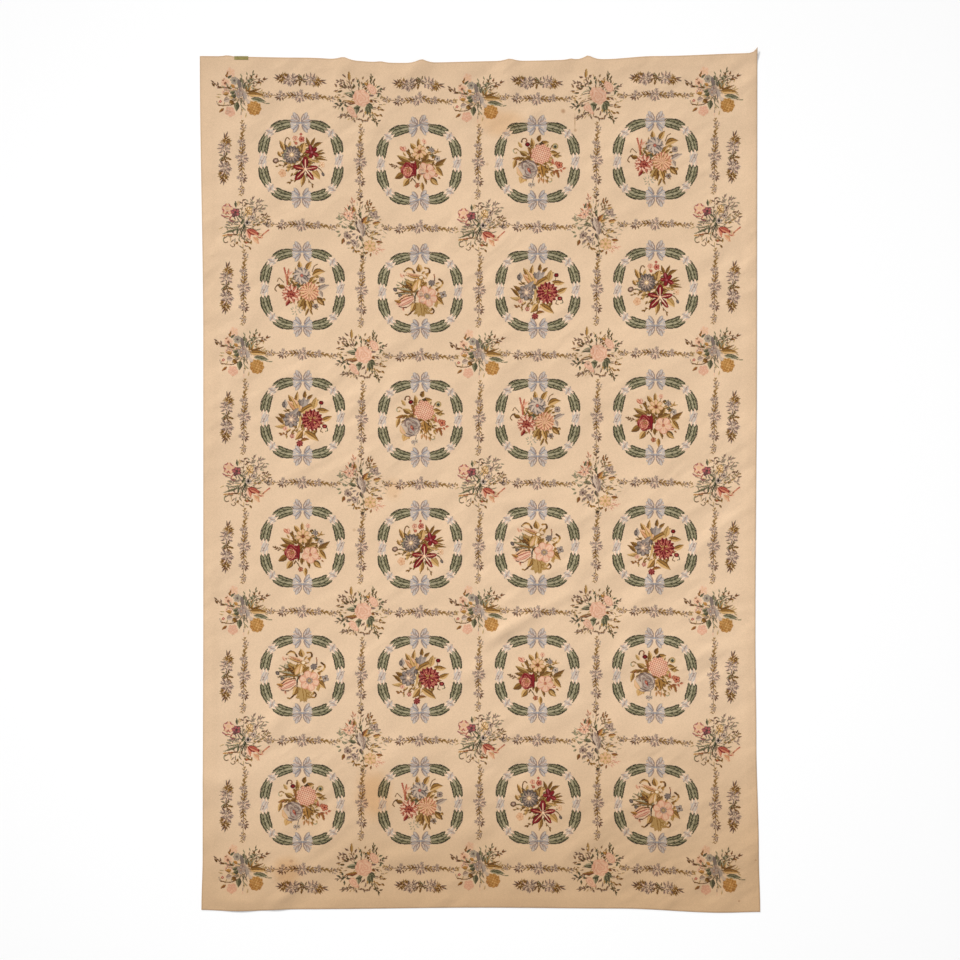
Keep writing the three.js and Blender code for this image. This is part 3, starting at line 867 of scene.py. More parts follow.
bouquets["chrysanthemum"] = [
    ("thicket", (0, 0), 36, 4, 24, 10, 3.6, "moss gold honey", 86),
    ("thicket", (-2, 4), 20, 0, 36, 9, 4.2, "umber moss olive", 34),
    ("thicket", (0, -2), 34, 10, 36, 9, 3.6, "leaf", 14),
    ("thicket", (2, 4), 38, 22, 16, 9, 3.2, "umber olive straw", 15),
    ("leaf", (-19, 30), (-29, 47), 8, "leafGold"),
    ("leaf", (-14, 30), (-10, 53), 8, "leafGold"),
    ("leaf", (3, 38), (5, 55), 7, "leafDark"),
    ("leaf", (9, 38), (20, 47), 6, "leafDark"),
    ("leaf", (-6, 14), (-30, 34), 14, "gold apricot peach"),
    ("leaf", (-6, 14), (-20, 40), 12, "gold honey peach"),
    ("leaf", (-4, 14), (-8, 34), 10, "amber honey peach"),
    ("leaf", (-4, 10), (27, 26), 15, "leafGold", 3),
    ("leaf", (22, 20), (27, 42), 12, "leafLight"),
    ("leaf", (28, 18), (54, 15), 10, "leafGold", -1),
    ("leaf", (38, -4), (59, 5), 10, "leafGold", -1),
    ("oval", (37, 31), 4.6, 4.2, "garnet crimson"),
    ("line", [(36, 26), (34, 16), (30, 8)], 1.4, "twig"),
    ("leaf", (-30, -2), (-49, 9), 9, "leafDark"),
    ("leaf", (-38, -12), (-55, 3), 7, "leafDark", -2),
    ("leaf", (-32, -14), (-56, -16), 7, "leafLight", 2),
    ("leaf", (-36, 20), (-35, 37), 10, "slate periwinkle sky"),
    ("oval", (-38, 27), 3.6, 6, "navy slate", 0),
    ("line", [(-34, 20), (-30, 14), (-22, 12)], 1.6, "twig"),
    ("oval", (44, -16), 4.8, 4.4, "garnet crimson rose"),
    ("line", [(48, -18), (50, -24), (46, -26)], 1.8, "pineTwig"),
    ("line", [(38, -20), (36, -26), (40, -28)], 1.6, "twig"),
    ("leaf", (28, -22), (24, -32), 5, "leafDark"),
    ("flower", (-35, -21), 4.6, 5, "rose blush shell", "coral"),
    ("flower", (-21, -36), 4.8, 5, "crimson rose shell", "rust"),
    ("twig", [(-26, -24), (-34, -32), (-43, -31)], 5, 6, 3.4, "leafBrown"),
    ("leaves", [(-32, -34, -90), (-16, -30, 200)], 7, 3, "leaf"),
    ("line", [(-12, -10), (-16, -24), (-22, -30)], 1.6, "twig"),
    ("leaf", (0, -26), (-15, -44), 12, "leafGold", 1),
    ("leaf", (4, -27), (32, -46), 13, "leafGold", 1),
    ("leaf", (-4, -46), (13, -43), 6, "leafBrown", 2),
    ("mum", (-6, -51), 6.6, 7, "garnet crimson rose"),
    ("leaf", (-6, 6), (-9, -24), 9, "straw honey cream"),
    ("line", [(-4, 10), (-12, 6), (-16, -14)], 2.2, "slate navy"),
    ("leaf", (-8, 14), (-6, 2), 6, "navy slate"),
    ("leaf", (0, 24), (-8, 38), 9, "navy slate periwinkle"),
    ("leaf", (0, 24), (14, 38), 9, "slate periwinkle sky"),
    ("leaf", (0, 22), (3, 41), 13, "slate periwinkle sky"),
    ("flower", (-23, -3), 16.5, 8, "navy slate periwinkle sky", "", 20, 0.24, 0.2, 0.36),
    ("flower", (-22, -2), 11, 7, "slate mauve lilac shell", "", 0, 0.3, 0.2, 0.36),
    ("flower", (-23, -3), 5, 6, "mauve pearl shell", "peach cream cream", 0, 0.2, 0.7),
    ("leaf", (-20, 8), (-8, 20), 8, "slate periwinkle sky"),
    ("mum", (19, -4), 20.5, 15, "garnet crimson crimson rose", 3.4),
    ("thicket", (19, -4), 15, 5, 22, 6, 2.2, "crimson rose salmon", 16),
    ("thicket", (19, -4), 6, 1, 7, 6, 1.8, "rust gold honey", 17),
]

# Sprays of flowers where the garlands cross
sprays = {}
sprays["goldenMum"] = [
    ("thicket", (0, 0), 44, 4, 60, 9, 2.0, "straw celadon lilac honey", 60),
    ("thicket", (0, 4), 28, 8, 34, 9, 2.4, "moss sage lilac", 21),
    ("thicket", (10, 22), 20, 4, 20, 7, 2.2, "pine sage celadon", 22),
    ("thicket", (-24, 20), 20, 4, 26, 6, 2.6, "mauve blush shell", 23),
    ("twig", [(14, 16), (20, 30), (24, 44)], 6, 7, 2.4, "umber pine sage", "sage"),
    ("twig", [(18, 14), (32, 26), (48, 32)], 7, 7, 2.6, "umber moss mauve", "sage"),
    ("twig", [(-30, 12), (-42, 16), (-54, 24)], 5, 8, 2.8, "umber moss mauve", "moss"),
    ("line", [(2, -24), (0, -36), (0, -46)], 1.6, "pine lilac shell"),
    ("flower", (-20, 44), 9, 5, "shell shell peach", "", 0, 0.3),
    ("leaves", [(-26, 32, 130), (-28, 36, 70), (-30, 26, 160)], 8, 3.4, "leafBrown"),
    ("flower", (-31, 21), 8.5, 6, "blush shell peach", "rust mauve", 0, 0.35, 0.3),
    ("leaves", [(-26, 14, 110), (-32, 12, 140), (-22, 12, 60)], 7, 3, "sage celadon"),
    ("flower", (-22, -35), 10.5, 5, "blush shell blush shell", "blush", 20, 0.2, 0.25),
    ("flower", (-13, 28), 8.5, 7, "slate sky celadon", "slate plum", 0, 0.35, 0.3),
    ("leaf", (-26, 30), (-18, 38), 4, "pineTwig"),
    ("leaf", (1, 14), (1, 36), 7, "laurelDark"),
    ("leaf", (6, 12), (9, 25), 6, "laurelDark"),
    ("leaf", (12, 6), (20, 25), 10, "leafGold", 1),
    ("leaf", (16, 6), (14, 20), 6, "umber moss gold"),
    ("leaves", [(14, 12, 60), (14, 10, 95)], 14, 2.6, "celadon sage"),
    ("leaf", (14, 6), (40, 14), 4, "leafDark", -1),
    ("leaf", (12, 2), (47, -2), 10, "leafGold", 2),
    ("leaf", (20, -7), (50, -13), 9, "laurel", 1),
    ("line", [(34, -10), (46, -15), (56, -16)], 1.6, "pine sage"),
    ("line", [(-4, 28), (-1, 14), (6, 4), (10, -8), (16, -14)], 5.6, "slate lilac sky pearl"),
    ("line", [(-6, 26), (-3, 12), (4, 0), (6, -12)], 2.2, "slate mauve slate"),
    ("line", [(1, 24), (4, 10), (12, -2)], 1.6, "pearl sky"),
    ("line", [(4, 24), (8, 10), (16, -4)], 1.4, "slate lilac"),
    ("flower", (-5, 2), 9, 6, "mauve lilac sky lilac", "mauve apricot peach", 0, 0.45, 0.26),
    ("leaf", (-10, 0), (-20, -4), 10, "laurelDark"),
    ("leaf", (-12, 6), (-22, 2), 6, "laurelDark"),
    ("leaf", (-12, 14), (-20, 20), 6, "gold amber"),
    ("leaf", (-24, 0), (-36, 0), 7, "umber gold amber"),
    ("leaves", [(-20, 10, 150), (-38, 12, 150), (-52, 16, 130)], 9, 3.4, "umber moss"),
    ("line", [(-26, 10), (-36, 14), (-46, 16), (-52, 22)], 1.4, "umber"),
    ("leaf", (-34, -14), (-22, -10), 10, "mauve lilac pearl"),
    ("leaf", (-22, -12), (-14, -20), 8, "leafDark"),
    ("line", [(-12, -18), (-26, -23), (-44, -22)], 2.0, "umber moss"),
    ("line", [(-38, -22), (-46, -20), (-48, -14)], 1.6, "moss lilac"),
    ("oval", (-41, -14), 3, 2.6, "rose blush"),
    ("leaf", (-34, -28), (-44, -36), 5, "leafBrown"),
    ("leaf", (-8, -14), (-9, -33), 10, "bottle pine pine sage"),
    ("line", [(2, -10), (0, -20), (8, -30)], 1.6, "pine sage"),
    ("line", [(14, 14), (20, 26), (30, 32), (38, 32)], 1.4, "umber"),
    ("leaves", [(22, 32, 95), (30, 34, 70), (44, 30, 30), (34, 28, -30)], 8, 3, "umber rust moss"),
    ("leaves", [(18, 24, 120), (24, 30, 150)], 8, 3.4, "pineTwig"),
    ("ball", (26, -26), 14, "gold amber amber honey", 0.9),
    ("thicket", (26, -26), 11, 3, 16, 6, 2.2, "rust gold amber", 24),
]
sprays["peony"] = [
    ("thicket", (2, 0), 46, 14, 44, 7, 1.8, "straw celadon lilac honey", 61),
    ("thicket", (2, 0), 34, 18, 20, 7, 2.2, "umber moss mauve", 25),
    ("thicket", (2, 0), 42, 30, 22, 7, 2.2, "moss mauve straw", 26),
    ("twig", [(-16, 14), (-30, 24), (-42, 32)], 7, 7, 2.1, "umber moss mauve", "sage"),
    ("twig", [(22, 24), (26, 36), (24, 50)], 6, 6, 1.9, "umber pine sage", "sage"),
    ("twig", [(28, 14), (40, 18), (48, 24)], 6, 6, 2.1, "umber moss mauve", "sage"),
    ("twig", [(-20, -8), (-34, -16), (-48, -18)], 7, 7, 2.1, "umber pine lilac", "sage"),
    ("twig", [(-6, -28), (-22, -38), (-38, -40)], 7, 7, 2.1, "umber moss lilac", "sage"),
    ("twig", [(16, -24), (28, -34), (34, -48)], 7, 6, 2.1, "umber pine sage", "sage"),
    ("leaf", (-20, 34), (-20, 54), 6, "umber gold straw"),
    ("line", [(-12, 12), (-18, 26), (-20, 36)], 1.4, "umber"),
    ("leaves", [(-26, 38, 150), (-14, 34, 60), (-30, 30, 170)], 9, 3.4, "umber moss mauve"),
    ("leaves", [(-4, 34, 70), (0, 26, 100), (-8, 24, 120), (6, 30, 30)], 8, 3.4, "pineTwig"),
    ("leaves", [(-14, 20, 60), (-24, 20, 160), (-30, 16, 140), (-34, 10, 180)], 9, 3.8, "bottle pine moss"),
    ("leaves", [(-34, 18, 130), (-44, 20, 120), (-42, 14, 190)], 9, 3.4, "umber gold mauve"),
    ("leaves", [(22, 36, 80), (24, 42, 110), (28, 38, 60), (30, 30, 100)], 8, 2.9, "bottle pine moss"),
    ("leaves", [(34, 26, 20), (40, 20, 30), (36, 14, -20), (36, 6, 60)], 8, 3.4, "pineTwig"),
    ("leaves", [(10, 22, 30), (14, 28, 60)], 7, 4.3, "umber moss"),
    ("leaf", (16, 30), (10, 36), 4.3, "gold amber"),
    ("oval", (25, 23), 12, 7, "blush shell blush shell", -55),
    ("oval", (-15, -26), 13, 7, "blush shell blush shell", -45),
    ("leaf", (-4, 6), (-30, 6), 10.3, "laurel", -1),
    ("leaf", (-4, 10), (-16, 16), 6, "laurelDark"),
    ("leaf", (-6, -6), (-32, -9), 6.9, "umber rust gold", 1),
    ("leaf", (-4, -10), (-6, -30), 9.5, "laurel"),
    ("leaf", (2, -14), (-12, -18), 6, "laurelDark"),
    ("leaf", (14, -8), (28, -16), 12, "bottle pine sage sage"),
    ("leaf", (14, -12), (16, -30), 7.7, "laurelDark"),
    ("leaf", (18, -12), (22, -26), 6, "laurelDark"),
    ("leaf", (16, 10), (30, 10), 4.3, "plum mauve"),
    ("leaf", (20, 0), (28, -4), 4.3, "leafBrown"),
    ("leaves", [(12, -22, -90), (24, -22, -60), (28, -26, -20)], 7, 3.1, "gold straw"),
    ("line", [(-26, -10), (-36, -18), (-42, -14)], 1.4, "umber"),
    ("leaves", [(-42, -14, 160), (-36, -12, 120), (-38, -20, 60), (-34, -22, -90), (-30, -18, 0)],
     8, 3.4, "bottle pine"),
    ("leaves", [(-36, -34, -110), (-30, -34, -60), (-24, -34, -20), (-32, -40, 180)],
     8, 3.4, "pine olive mauve"),
    ("leaves", [(-12, -40, -60), (-4, -40, 10), (4, -38, -70), (8, -42, 0), (16, -40, 60)],
     8, 3.4, "umber moss lilac"),
    ("line", [(-14, -38), (0, -40), (16, -40)], 1.4, "moss"),
    ("leaves", [(36, -18, 60), (42, -20, 10), (40, -28, -40), (32, -30, -10)], 8, 3.4, "umber moss gold"),
    ("leaves", [(28, -36, -80), (32, -42, -60), (36, -42, 10), (30, -40, 170)], 7, 2.9, "bottle pine moss"),
    ("line", [(26, -26), (32, -36), (34, -48)], 1.4, "moss"),
    ("flower", (4, 4), 17.5, 7, "blush blush shell shell", "", 0, 0.14, 0.2, 0.48),
    ("rose", (4, 3), 14, "blush blush shell shell", 30, 2.0),
    ("line", [(-8, 8), (-4, -4), (6, -10)], 1.2, "salmon blush"),
]
sprays["parrotTulip"] = [
    ("thicket", (0, 0), 44, 4, 58, 9, 1.8, "straw celadon lilac honey", 62),
    ("thicket", (0, -4), 28, 2, 38, 11, 1.8, "pine sage mauve", 27),
    ("thicket", (24, 26), 24, 4, 30, 7, 2.2, "moss mauve celadon", 28),
    ("thicket", (-12, -26), 24, 4, 22, 10, 1.8, "moss sage mauve", 29),
    ("twig", [(8, 20), (18, 34), (20, 48)], 7, 7, 2.1, "umber mauve celadon", "sage"),
    ("twig", [(16, 18), (28, 30), (36, 44)], 7, 7, 2.1, "plum mauve lilac", "sage"),
    ("twig", [(20, 10), (36, 12), (50, 14)], 7, 7, 2.1, "umber mauve straw", "sage"),
    ("line", [(1, 48), (0, 34), (-2, 18), (-1, 4)], 1.4, "umber pine"),
    ("leaves", [(0, 46, 20), (0, 40, 150), (2, 34, 40), (-6, 28, 170)], 8, 2.9, "umber moss mauve"),
    ("leaf", (-13, 32), (-14, 46), 4.3, "laurelDark"),
    ("flower", (-30, 27), 11.5, 5, "magenta rose peach shell", "", 50, 0.2, 0.2, 0.44),
    ("oval", (-30, 28), 7, 6, "shell peach peach"),
    ("line", [(-42, 16), (-36, 12), (-28, 12)], 2.4, "magenta rose"),
    ("line", [(-22, 14), (-26, 6), (-18, 4)], 2.4, "rose magenta"),
    ("flower", (-14, 22), 8.5, 5, "plum magenta rose", "plum ink", 0, 0.2, 0.3),
    ("leaf", (-20, 12), (-14, 22), 6.9, "magenta plum plum"),
    ("leaf", (-8, 16), (-2, 10), 3.4, "laurelDark"),
    ("line", [(-36, 10), (-24, 6), (-10, 2)], 1.6, "mauve plum"),
    ("leaves", [(-16, 2, 20), (-22, -2, 160), (-24, -6, 170), (-26, -12, 160)],
     12, 2.9, "sage celadon mauve"),
    ("leaf", (-4, -2), (4, 10), 5.2, "laurelDark"),
    ("leaf", (2, 0), (4, -10), 5.2, "laurelDark"),
    ("line", [(4, -4), (-2, -16), (-4, -26)], 3.0, "bottle pine umber"),
    ("line", [(0, -6), (-6, -18), (-8, -34)], 1.6, "pine sage"),
    ("leaf", (-10, -8), (-12, -24), 4.3, "laurelDark"),
    ("leaf", (-8, -8), (-42, -22), 3.1, "laurel", 2),
    ("leaf", (-6, -6), (-34, -10), 2.8, "umber sage celadon", 1),
    ("line", [(-12, -22), (-26, -24), (-40, -26)], 2.6, "umber rust amber"),
    ("leaves", [(-20, -14, 200), (-26, -16, 210), (-14, -12, 200)], 10, 3.1, "pine sage"),
    ("curl", (-32, -36), 9, 120, 170, 1.6, "sage umber"),
    ("curl", (-20, -42), 6, 200, 200, 1.6, "umber moss"),
    ("leaves", [(2, -34, -60), (8, -36, -20), (14, -40, 60), (12, -46, -60), (-10, -36, -130)],
     7, 3.4, "umber moss olive"),
    ("flower", (9, 2), 6.5, 6, "slate sky pearl", "ink", 0, 0.4, 0.4),
    ("flower", (20, 12), 6.5, 6, "slate lilac pearl", "plum", 0, 0.4),
    ("flower", (24, 28), 6, 5, "mauve lilac pearl", "plum", 0, 0.4),
    ("line", [(8, 4), (20, 20), (28, 32)], 1.6, "plum mauve umber"),
    ("flower", (12, 26), 8, 6, "olive honey cream", "amber", 0, 0.3, 0.2),
    ("line", [(6, 30), (12, 22), (18, 18)], 1.8, "umber gold"),
    ("leaves", [(20, 48, 60), (22, 38, 130), (32, 42, 110), (38, 28, 30)], 9, 2.9, "umber mauve lilac"),
    ("leaves", [(36, 18, 10), (44, 16, 50), (10, 38, 140), (48, 8, 10)], 8, 2.6, "umber moss plum"),
    ("leaves", [(20, -2, 0), (28, -4, 20), (34, 2, 20)], 7, 2.6, "moss straw"),
    ("line", [(8, -4), (24, -2), (40, 4), (50, 14)], 1.3, "umber olive"),
    ("leaves", [(44, -2, 20), (46, -3, -40), (48, 0, 70), (46, -2, 150)], 8, 2.6, "mauve lilac"),
    ("leaf", (8, -12), (32, -24), 10.3, "crimson coral salmon", 2),
    ("leaf", (8, -14), (14, -32), 9.5, "coral salmon shell"),
    ("line", [(10, -14), (16, -20), (22, -22)], 2.6, "crimson"),
    ("line", [(20, -14), (30, -18), (30, -26), (38, -28)], 2.6, "coral crimson coral"),
    ("line", [(36, -26), (44, -18), (52, -12)], 2.8, "rust salmon coral"),
    ("leaf", (20, -26), (32, -40), 7.7, "salmon apricot peach"),
    ("leaves", [(24, -22, -20), (36, -22, -70), (28, -32, -90)], 9, 3.4, "salmon peach"),
    ("oval", (7, -38), 1.8, 1.8, "coral"),
]
sprays["longRose"] = [
    ("thicket", (0, 0), 46, 4, 62, 9, 1.8, "straw celadon lilac pearl", 63),
    ("thicket", (0, 10), 32, 8, 26, 8, 2.2, "moss mauve celadon", 30),
    ("thicket", (0, -16), 34, 8, 28, 8, 2.2, "moss sage mauve", 31),
    ("thicket", (6, 20), 28, 10, 20, 7, 2.4, "umber olive celadon", 32),
    ("twig", [(-8, 20), (-16, 34), (-16, 52)], 7, 7, 2.2, "rust mauve blush", "sage"),
    ("twig", [(-18, 10), (-32, 14), (-44, 16)], 6, 7, 2.1, "sage celadon mauve", "sage"),
    ("twig", [(8, 30), (14, 42), (18, 54)], 6, 7, 2.2, "umber mauve olive", "sage"),
    ("twig", [(18, -40), (30, -44), (42, -42)], 6, 8, 2.1, "salmon blush shell", "straw"),
    ("line", [(0, 66), (0, 54), (-1, 40), (2, 22)], 1.4, "moss olive sage"),
    ("leaves", [(0, 62, 30), (0, 56, 150), (0, 50, 40)], 7, 3.1, "umber moss mauve"),
    ("leaves", [(-15, 54, 110), (-14, 50, 60), (-22, 38, 130), (-20, 34, 60)], 8, 2.6, "rust salmon blush"),
    ("leaf", (-12, 32), (-14, 44), 6.9, "leaf"),
    ("leaf", (-24, 34), (-20, 44), 4.3, "laurelDark"),
    ("flower", (-24, 22), 9.5, 6, "coral blush shell peach", "mauve", 0, 0.4, 0.2, 0.4),
    ("leaves", [(-30, 22, 170), (-26, 30, 130), (-18, 30, 40)], 9, 2.6, "rust salmon"),
    ("leaves", [(-38, 12, 160), (-42, 16, 100), (-36, 8, 200), (-30, 14, 150)], 8, 3.4, "sage celadon"),
    ("leaves", [(17, 46, 130), (19, 46, 60), (14, 50, 90), (22, 42, 20)], 9, 2.6, "umber rust olive"),
    ("flower", (26, 30), 9, 5, "mauve lilac lilac pearl", "plum slate", 0, 0.3),
    ("leaf", (22, 36), (32, 40), 4.3, "olive honey"),
    ("leaf", (28, 20), (40, 24), 6, "slate lilac pearl"),
    ("curl", (20, 18), 6, 60, 220, 2.4, "sage slate"),
    ("leaf", (24, 10), (40, 13), 7.7, "umber rust amber honey"),
    ("leaf", (2, 8), (14, 26), 8.6, "umber rust amber", 1),
    ("leaf", (8, 10), (20, 16), 5.2, "leafGold"),
    ("line", [(-4, 36), (0, 24), (4, 14)], 2.0, "pine ink"),
    ("leaf", (-2, 24), (2, 34), 4.3, "laurelDark"),
    ("leaf", (-10, -2), (-26, 2), 6.9, "laurelDark"),
    ("leaf", (-18, 4), (-24, 0), 5.2, "pine sage"),
    ("leaves", [(-28, -4, 160), (-34, -6, 120), (-42, -12, 160), (-40, -16, 220)],
     8, 3.8, "pine sage celadon"),
    ("flower", (-27, -19), 7.5, 6, "mauve lilac lilac", "plum", 0, 0.4, 0.3),
    ("flower", (-12, -30), 7, 5, "mauve lilac pearl", "plum", 0, 0.35),
    ("leaves", [(-20, -24, -30), (-18, -14, 20), (-10, -22, 60), (-20, -32, 180)], 9, 3.1, "slate mauve"),
    ("leaf", (-34, -26), (-38, -38), 6.9, "umber rust olive"),
    ("leaves", [(-14, -38, 220), (-12, -44, -60), (-8, -46, 0)], 7, 4.3, "umber olive gold"),
    ("line", [(-24, -20), (-16, -36), (-12, -46)], 1.4, "umber moss"),
    ("leaf", (-4, 18), (4, -18), 12, "mauve lilac lilac pearl", 1),
    ("line", [(-8, 14), (-8, 4), (-2, -8)], 2.6, "plum slate plum"),
    ("line", [(6, 10), (9, 0), (6, -14)], 2.4, "sky slate"),
    ("line", [(-2, 10), (2, 0), (1, -12)], 1.4, "pearl"),
    ("leaf", (-2, -14), (2, -26), 6, "plum mauve pine"),
    ("line", [(2, -18), (4, -32), (5, -46), (5, -62)], 1.4, "sage moss olive"),
    ("leaves", [(3, -30, -60), (4, -36, 220), (5, -46, -50), (5, -54, 210)], 8, 3.4, "umber moss sage"),
    ("line", [(10, -6), (16, -16), (22, -12), (34, -10)], 2.2, "moss straw"),
    ("leaves", [(22, -10, 60), (28, -10, 20), (20, -16, -60)], 7, 3.4, "olive straw"),
    ("flower", (18, -34), 12.5, 6, "straw honey peach peach", "honey straw", 0, 0.25, 0.3, 0.42),
    ("leaf", (30, -26), (44, -28), 6, "umber rust gold"),
    ("leaves", [(32, -32, -10), (32, -38, -40), (28, -46, -60), (36, -44, 20)], 9, 2.4, "coral blush shell"),
    ("leaves", [(14, -46, -140), (20, -48, -100)], 8, 3.4, "umber rust olive"),
]

# A garland between two crossings, worked from left to right
garland = [
    ("twig", [(-50, 1), (-62, 0), (-75, 3)], 9, 7, 2.0, "moss olive straw", "moss"),
    ("thicket", (-63, 1), 5, 0, 9, 5, 2.2, "plum mauve lilac pearl", 71),
    ("twig", [(48, -2), (60, -4), (75, -1)], 8, 7, 2.0, "moss olive straw", "moss"),
    ("thicket", (60, -4), 5, 0, 9, 5, 2.2, "plum mauve lilac pearl", 72),
    ("line", [(-54, 1), (-40, 0), (-26, 0)], 1.3, "moss olive"),
    ("line", [(-28, 0), (-14, 0), (-4, -1)], 2.2, "umber moss umber"),
    ("line", [(6, -2), (16, -2), (28, -2)], 2.2, "umber moss umber"),
    ("twig", [(-3, 0), (-15, 1), (-29, 0)], 7, 9, 2.2, "umber moss straw", "umber", 42),
    ("twig", [(-4, 1), (-16, 1), (-31, 0)], 6, 9, 2.0, "moss olive straw", "umber", -42),
    ("twig", [(-6, 1), (-14, 1), (-25, 0)], 4, 9, 1.6, "mauve lilac", "umber", 60),
    ("twig", [(2, -1), (14, -1), (27, -3)], 7, 9, 2.2, "umber moss straw", "umber", 42),
    ("twig", [(3, -1), (15, -1), (29, -3)], 6, 9, 2.0, "moss olive straw", "umber", -42),
    ("twig", [(5, -1), (13, -1), (23, -2)], 4, 9, 1.6, "mauve lilac", "umber", 60),
    ("thicket", (-42, -1), 4, 0, 8, 6, 2.0, "umber moss mauve", 41),
    ("twig", [(32, -2), (40, -1), (50, -3)], 5, 7, 2.2, "umber moss straw", "moss", 40),
    ("twig", [(33, -2), (41, -1), (48, -2)], 4, 7, 2.0, "moss olive straw", "moss", -40),
    ("leaves", [(-44, -3, -110), (-40, -4, -90), (-36, -3, -70)], 7, 2.8, "umber moss mauve"),
    ("leaves", [(27, -4, -110), (-30, 3, 160)], 6, 2.4, "umber moss mauve"),
    ("thicket", (-1, -3), 6, 1, 20, 7, 2.4, "plum mauve lilac pearl", 42),
    ("leaves", [(-6, -3, -110), (-1, -4, -95), (4, -3, -75), (-4, 2, 105), (3, 2, 80)],
     8, 2.8, "mauve lilac"),
    ("leaves", [(-4, -4, -110), (2, -4, -85), (0, 1, 100)], 7, 2.0, "pearl shell"),
    ("flower", (2, 9), 4.4, 5, "mauve lilac pearl", "mauve", 0, 0.45),
    ("leaves", [(-8, 3, 130), (-14, 4, 110), (8, 2, 60), (-12, -2, -120), (12, -3, -70)],
     6, 2.0, "lilac pearl"),
    ("thicket", (-38, 1), 4, 0, 10, 5, 2.4, "plum mauve lilac pearl", 56),
    ("flower", (-39, 7), 4.2, 5, "mauve lilac pearl", "mauve", 20, 0.45),
    ("thicket", (31, 0), 5, 0, 14, 5, 2.4, "plum mauve lilac pearl", 43),
    ("flower", (33, 4), 4.2, 5, "mauve lilac pearl", "mauve", 0, 0.45),
]

# A short sprig for the margin
marginSprig = [
    ("thicket", (-32, 3), 5, 0, 28, 8, 2.2, "umber moss olive straw", 44),
    ("thicket", (-38, 2), 3, 0, 10, 9, 2.2, "umber moss olive", 47),
    ("leaves", [(-42, 1, 165), (-40, 4, 150)], 12, 2.4, "umber plum mauve"),
    ("thicket", (32, -3), 5, 0, 28, 8, 2.2, "umber moss olive straw", 48),
    ("thicket", (38, -3), 3, 0, 10, 9, 2.2, "umber moss gold", 49),
    ("leaves", [(42, -3, -20), (40, -1, 8)], 12, 2.4, "umber plum mauve"),
    ("thicket", (-3, -2), 5, 0, 10, 8, 2.2, "umber moss olive", 50),
    ("thicket", (5, 1), 5, 0, 10, 8, 2.2, "umber moss sage", 57),
    ("line", [(-16, 0), (-4, -1), (14, 0)], 2.2, "umber moss umber"),
    ("thicket", (-19, 0), 9, 1, 34, 7, 2.4, "plum mauve lilac pearl", 45),
    ("thicket", (20, 1), 9, 1, 34, 7, 2.4, "plum mauve lilac pearl", 46),
    ("leaves", [(-23, 4, 95), (-16, 5, 75), (-29, 3, 130), (-10, 3, 45), (-22, -3, -95)],
     9, 2.6, "plum mauve lilac"),
    ("leaves", [(-15, -3, -75), (-28, -3, -130), (15, 5, 110), (21, 6, 88), (27, 5, 70)],
     9, 2.6, "plum mauve lilac"),
    ("leaves", [(14, -3, -110), (20, -3, -92), (27, -4, -70), (-19, 0, 180), (20, 1, 0)],
     9, 2.6, "plum mauve lilac"),
    ("leaves", [(-20, 4, 85), (-26, 2, 140), (-25, -3, -120), (-18, -4, -85)], 7, 2.0, "pearl shell"),
    ("leaves", [(18, 5, 95), (24, 5, 75), (17, -3, -100), (24, -4, -70)], 7, 2.0, "pearl shell"),
]

# Where the motifs stand, in metres from the rug's middle before its edges sag
layout = {
    "column": 0.7585,  # from one wreath's middle to the next, across
    "row": 0.8308,  # and along
    "middle": (-0.0058, 0.0064),  # of the whole design
    "rows": [  # of bouquets, from the top
        "asterAndLily roseAndHibiscus hydrangeaAndRose starAndCarnation",
        "starAndCarnation anemoneAndTulip chrysanthemum asterAndLily",
        "chrysanthemum hydrangeaAndRose starAndCarnation roseAndHibiscus",
        "roseAndHibiscus asterAndLily anemoneAndTulip chrysanthemum",
        "anemoneAndTulip chrysanthemum roseAndHibiscus hydrangeaAndRose",
        "hydrangeaAndRose starAndCarnation asterAndLily anemoneAndTulip",
    ],
    "crossings": [("goldenMum", "peony"), ("parrotTulip", "longRose")],  # by turns in two kinds of row
    "crossingRise": {"goldenMum": 0.0, "peony": -0.006, "parrotTulip": 0.004, "longRose": -0.008},
    "garlandUpRise": 0.010,
    "margin": {"across": 1.632, "along": 2.603},  # of the sprigs along the long and short edges
}
# Stitches across and up in each chart
chartSize = {"bouquet": (124, 124), "spray": (124, 140), "garland": (152, 30), "sprig": (114, 34)}
tileRim = 0.01  # share of a tile of the map OFBake that stays empty on each side


def woolBlocks(chart):
    # Equal stitches side by side join into runs, and equal runs in neighbouring rows join into blocks.
    # Each block is its first column, its end column, its first row, its end row and its wool.
    tall, wide = chart.shape
    padded = np.zeros((tall, wide + 2), int)
    padded[:, 1:-1] = chart
    change = padded[:, 1:] != padded[:, :-1]
    row, column = np.nonzero(change)
    wool = padded[row, column + 1]
    end = np.append(column[1:], 0)
    keep = wool > 0
    runs = np.stack([column[keep], end[keep], row[keep], wool[keep]])
    order = np.lexsort((runs[2], runs[3], runs[1], runs[0]))
    runs = runs[:, order]
    same = (runs[[0, 1, 3], 1:] == runs[[0, 1, 3], :-1]).all(0) & (np.diff(runs[2]) == 1)
    first = np.flatnonzero(np.append(True, ~same))
    last = np.append(first[1:], runs.shape[1]) - 1
    return np.stack([runs[0, first], runs[1, first], runs[2, first], runs[2, last] + 1, runs[3, first]])


blocksOf = {}


